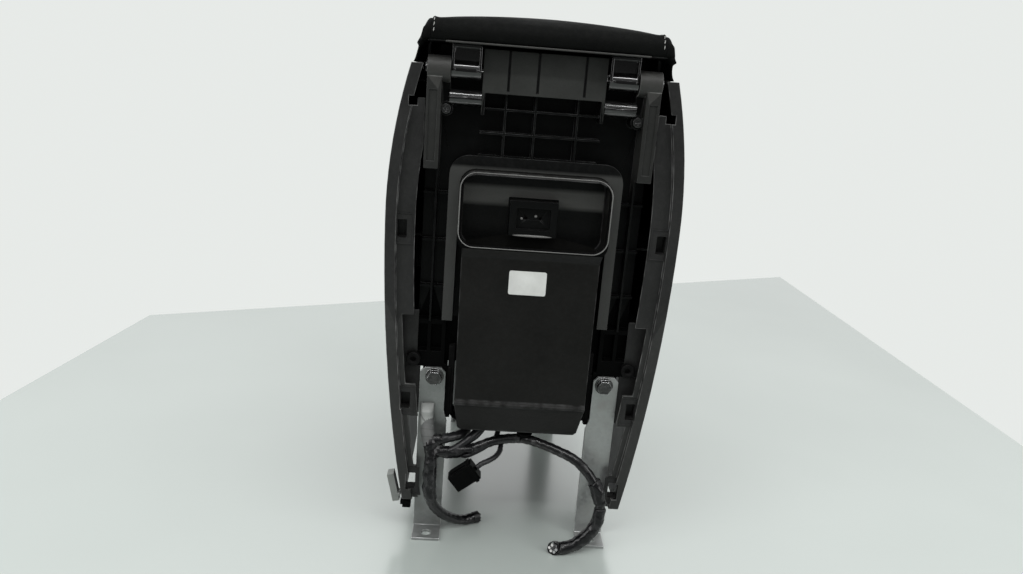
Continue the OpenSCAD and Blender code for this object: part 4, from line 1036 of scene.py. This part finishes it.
held = []
shape = opened(foam_mesh)
shape.normal_update()
shape.verts.ensure_lookup_table()
for dot in shape.verts:
    if inside_cover(dot.co) or abs(abs(dot.co.x) - seam_x) < 0.0022:
        held.append(dot.index)
        if dot.co.z < cover_foot and dot.co.y > -0.135:
            dot.co.z -= 0.0011
    else:
        dot.co -= dot.normal * 0.0010
shape.to_mesh(foam_mesh)
shape.free()
foam = bpy.data.objects.new("foam", foam_mesh)
bpy.context.scene.collection.objects.link(foam)
foam.vertex_groups.new(name="held").add(held, 1.0, "REPLACE")
skin = foam.modifiers.new("skin", "CLOTH")
skin.settings.quality = 6
skin.settings.mass = 0.25
skin.settings.tension_stiffness = 25.0
skin.settings.compression_stiffness = 25.0
skin.settings.bending_stiffness = 1.5
skin.settings.use_pressure = True
skin.settings.uniform_pressure_force = 4.0
skin.settings.effector_weights.gravity = 0.0
skin.settings.vertex_group_mass = "held"
skin.point_cache.frame_start = 1
skin.point_cache.frame_end = 20
for moment in range(1, skin.point_cache.frame_end + 1):
    bpy.context.scene.frame_set(moment)
ready = bpy.context.evaluated_depsgraph_get()
swollen = foam.evaluated_get(ready).to_mesh()
places = [dot.co.copy() for dot in swollen.vertices]
bpy.context.scene.frame_set(1)
bpy.data.objects.remove(foam)
for dot, place in zip(foam_mesh.vertices, places):
    move = place - dot.co
    if move.length > most_swell:
        move = move.normalized() * most_swell
    dot.co = dot.co + move
cover_mesh = reshaped(foam_mesh, "cover", "SUBSURF", levels=1, render_levels=1)
shape = opened(cover_mesh)
for sign in (-1, 1):
    for aside in (-0.0016, -0.0008, 0.0, 0.0008, 0.0016):
        bmesh.ops.bisect_plane(
            shape, geom=shape.verts[:] + shape.edges[:] + shape.faces[:], dist=0.0,
            plane_co=(sign * (seam_x + aside), 0, 0), plane_no=(1, 0, 0))
shape.normal_update()
for dot in shape.verts:
    aside = abs(dot.co.x) - seam_x
    if abs(aside) < 0.012 and not inside_cover(dot.co):
        groove = -0.0010 * math.exp(-(aside / 0.0009) ** 2)
        groove += 0.0004 * math.exp(-((abs(aside) - 0.0026) / 0.0016) ** 2)
        pucker = noise.noise(Vector((dot.co.x * 60.0, dot.co.y * 170.0, dot.co.z * 170.0)))
        groove += 0.0005 * pucker * math.exp(-(aside / 0.006) ** 2)
        dot.co += dot.normal * groove
cut_large_faces(shape)
cushion = finish_mesh("lid_cover", shape, cover_finish, "lid", 75.0)
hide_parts("lid_cushion")


# Stitches: a row of pale thread beside each seam of the cover, each stitch leaning a little. A
# plastic hem strip is sewn along the cover's rear edge and tucks it under the plate.
thread, tree, shader = blank_material("thread", {"Roughness": 0.6})
place = add_node(tree, "TexCoord")
twist = add_node(tree, "TexNoise", {"Vector": (place, "Object"), "Scale": 2500.0})
shade = add_node(tree, "Mix", {
    0: (twist, "Fac"), 6: (0.16, 0.16, 0.155, 1), 7: (0.42, 0.42, 0.40, 1)}, data_type="RGBA")
wire(tree, shade, 2, shader, "Base Color")

cover_skin = skin_of(cushion.data)
stitch_shape = bmesh.new()
stitch_pitch = 0.0043
stitch_size = (0.00034, 0.0016, 0.00028)
for sign in (-1, 1):
    x = sign * (seam_x - 0.0021)
    rays = []
    for angle in range(24, 91, 3):
        turn = math.radians(angle)
        aim = Vector((0.0, math.cos(turn), -math.sin(turn)))
        centre = Vector((x, low[1] + 0.020, high[2] - 0.024))
        rays.append((centre - aim * 0.08, aim))
    rays += [((x, y / 1000.0, 0.5), (0, 0, -1)) for y in range(-136, 140, 4)]
    path = []
    for start, aim in rays:
        hit = cover_skin.ray_cast(Vector(start), Vector(aim))
        if hit[0] is not None:
            path.append((hit[0], hit[1]))
    run = 0.0
    due = 0.0
    for (a, out_a), (b, out_b) in zip(path, path[1:]):
        step = (b - a).length
        while due < run + step and step > 0:
            share = (due - run) / step
            middle = a.lerp(b, share)
            out = out_a.lerp(out_b, share).normalized()
            along = (b - a).normalized()
            across = out.cross(along).normalized()
            turned = Matrix((across, along, out)).transposed().to_4x4()
            bmesh.ops.create_uvsphere(
                stitch_shape, u_segments=8, v_segments=6, radius=1.0,
                matrix=Matrix.Translation(middle + out * 0.00012) @ turned
                @ Matrix.Rotation(math.radians(7.0), 4, "Z") @ Matrix.Diagonal((*stitch_size, 1.0)))
            due += stitch_pitch
        run += step
stitches = finish_mesh("lid_stitches", stitch_shape, thread, "lid", 80.0)

# The hem strip is painted light grey: a painted highlight along the cover's rear edge.
hem_shape = bmesh.new()
block(hem_shape, (0, low[1] + 0.0026, 0.4268), (0.156, 0.0050, 0.0013))
round_edges(hem_shape, hem_shape.edges[:], 0.0004, 2)
hem = finish_mesh("cover_hem", hem_shape, frame_painted_light, "lid", 50.0)
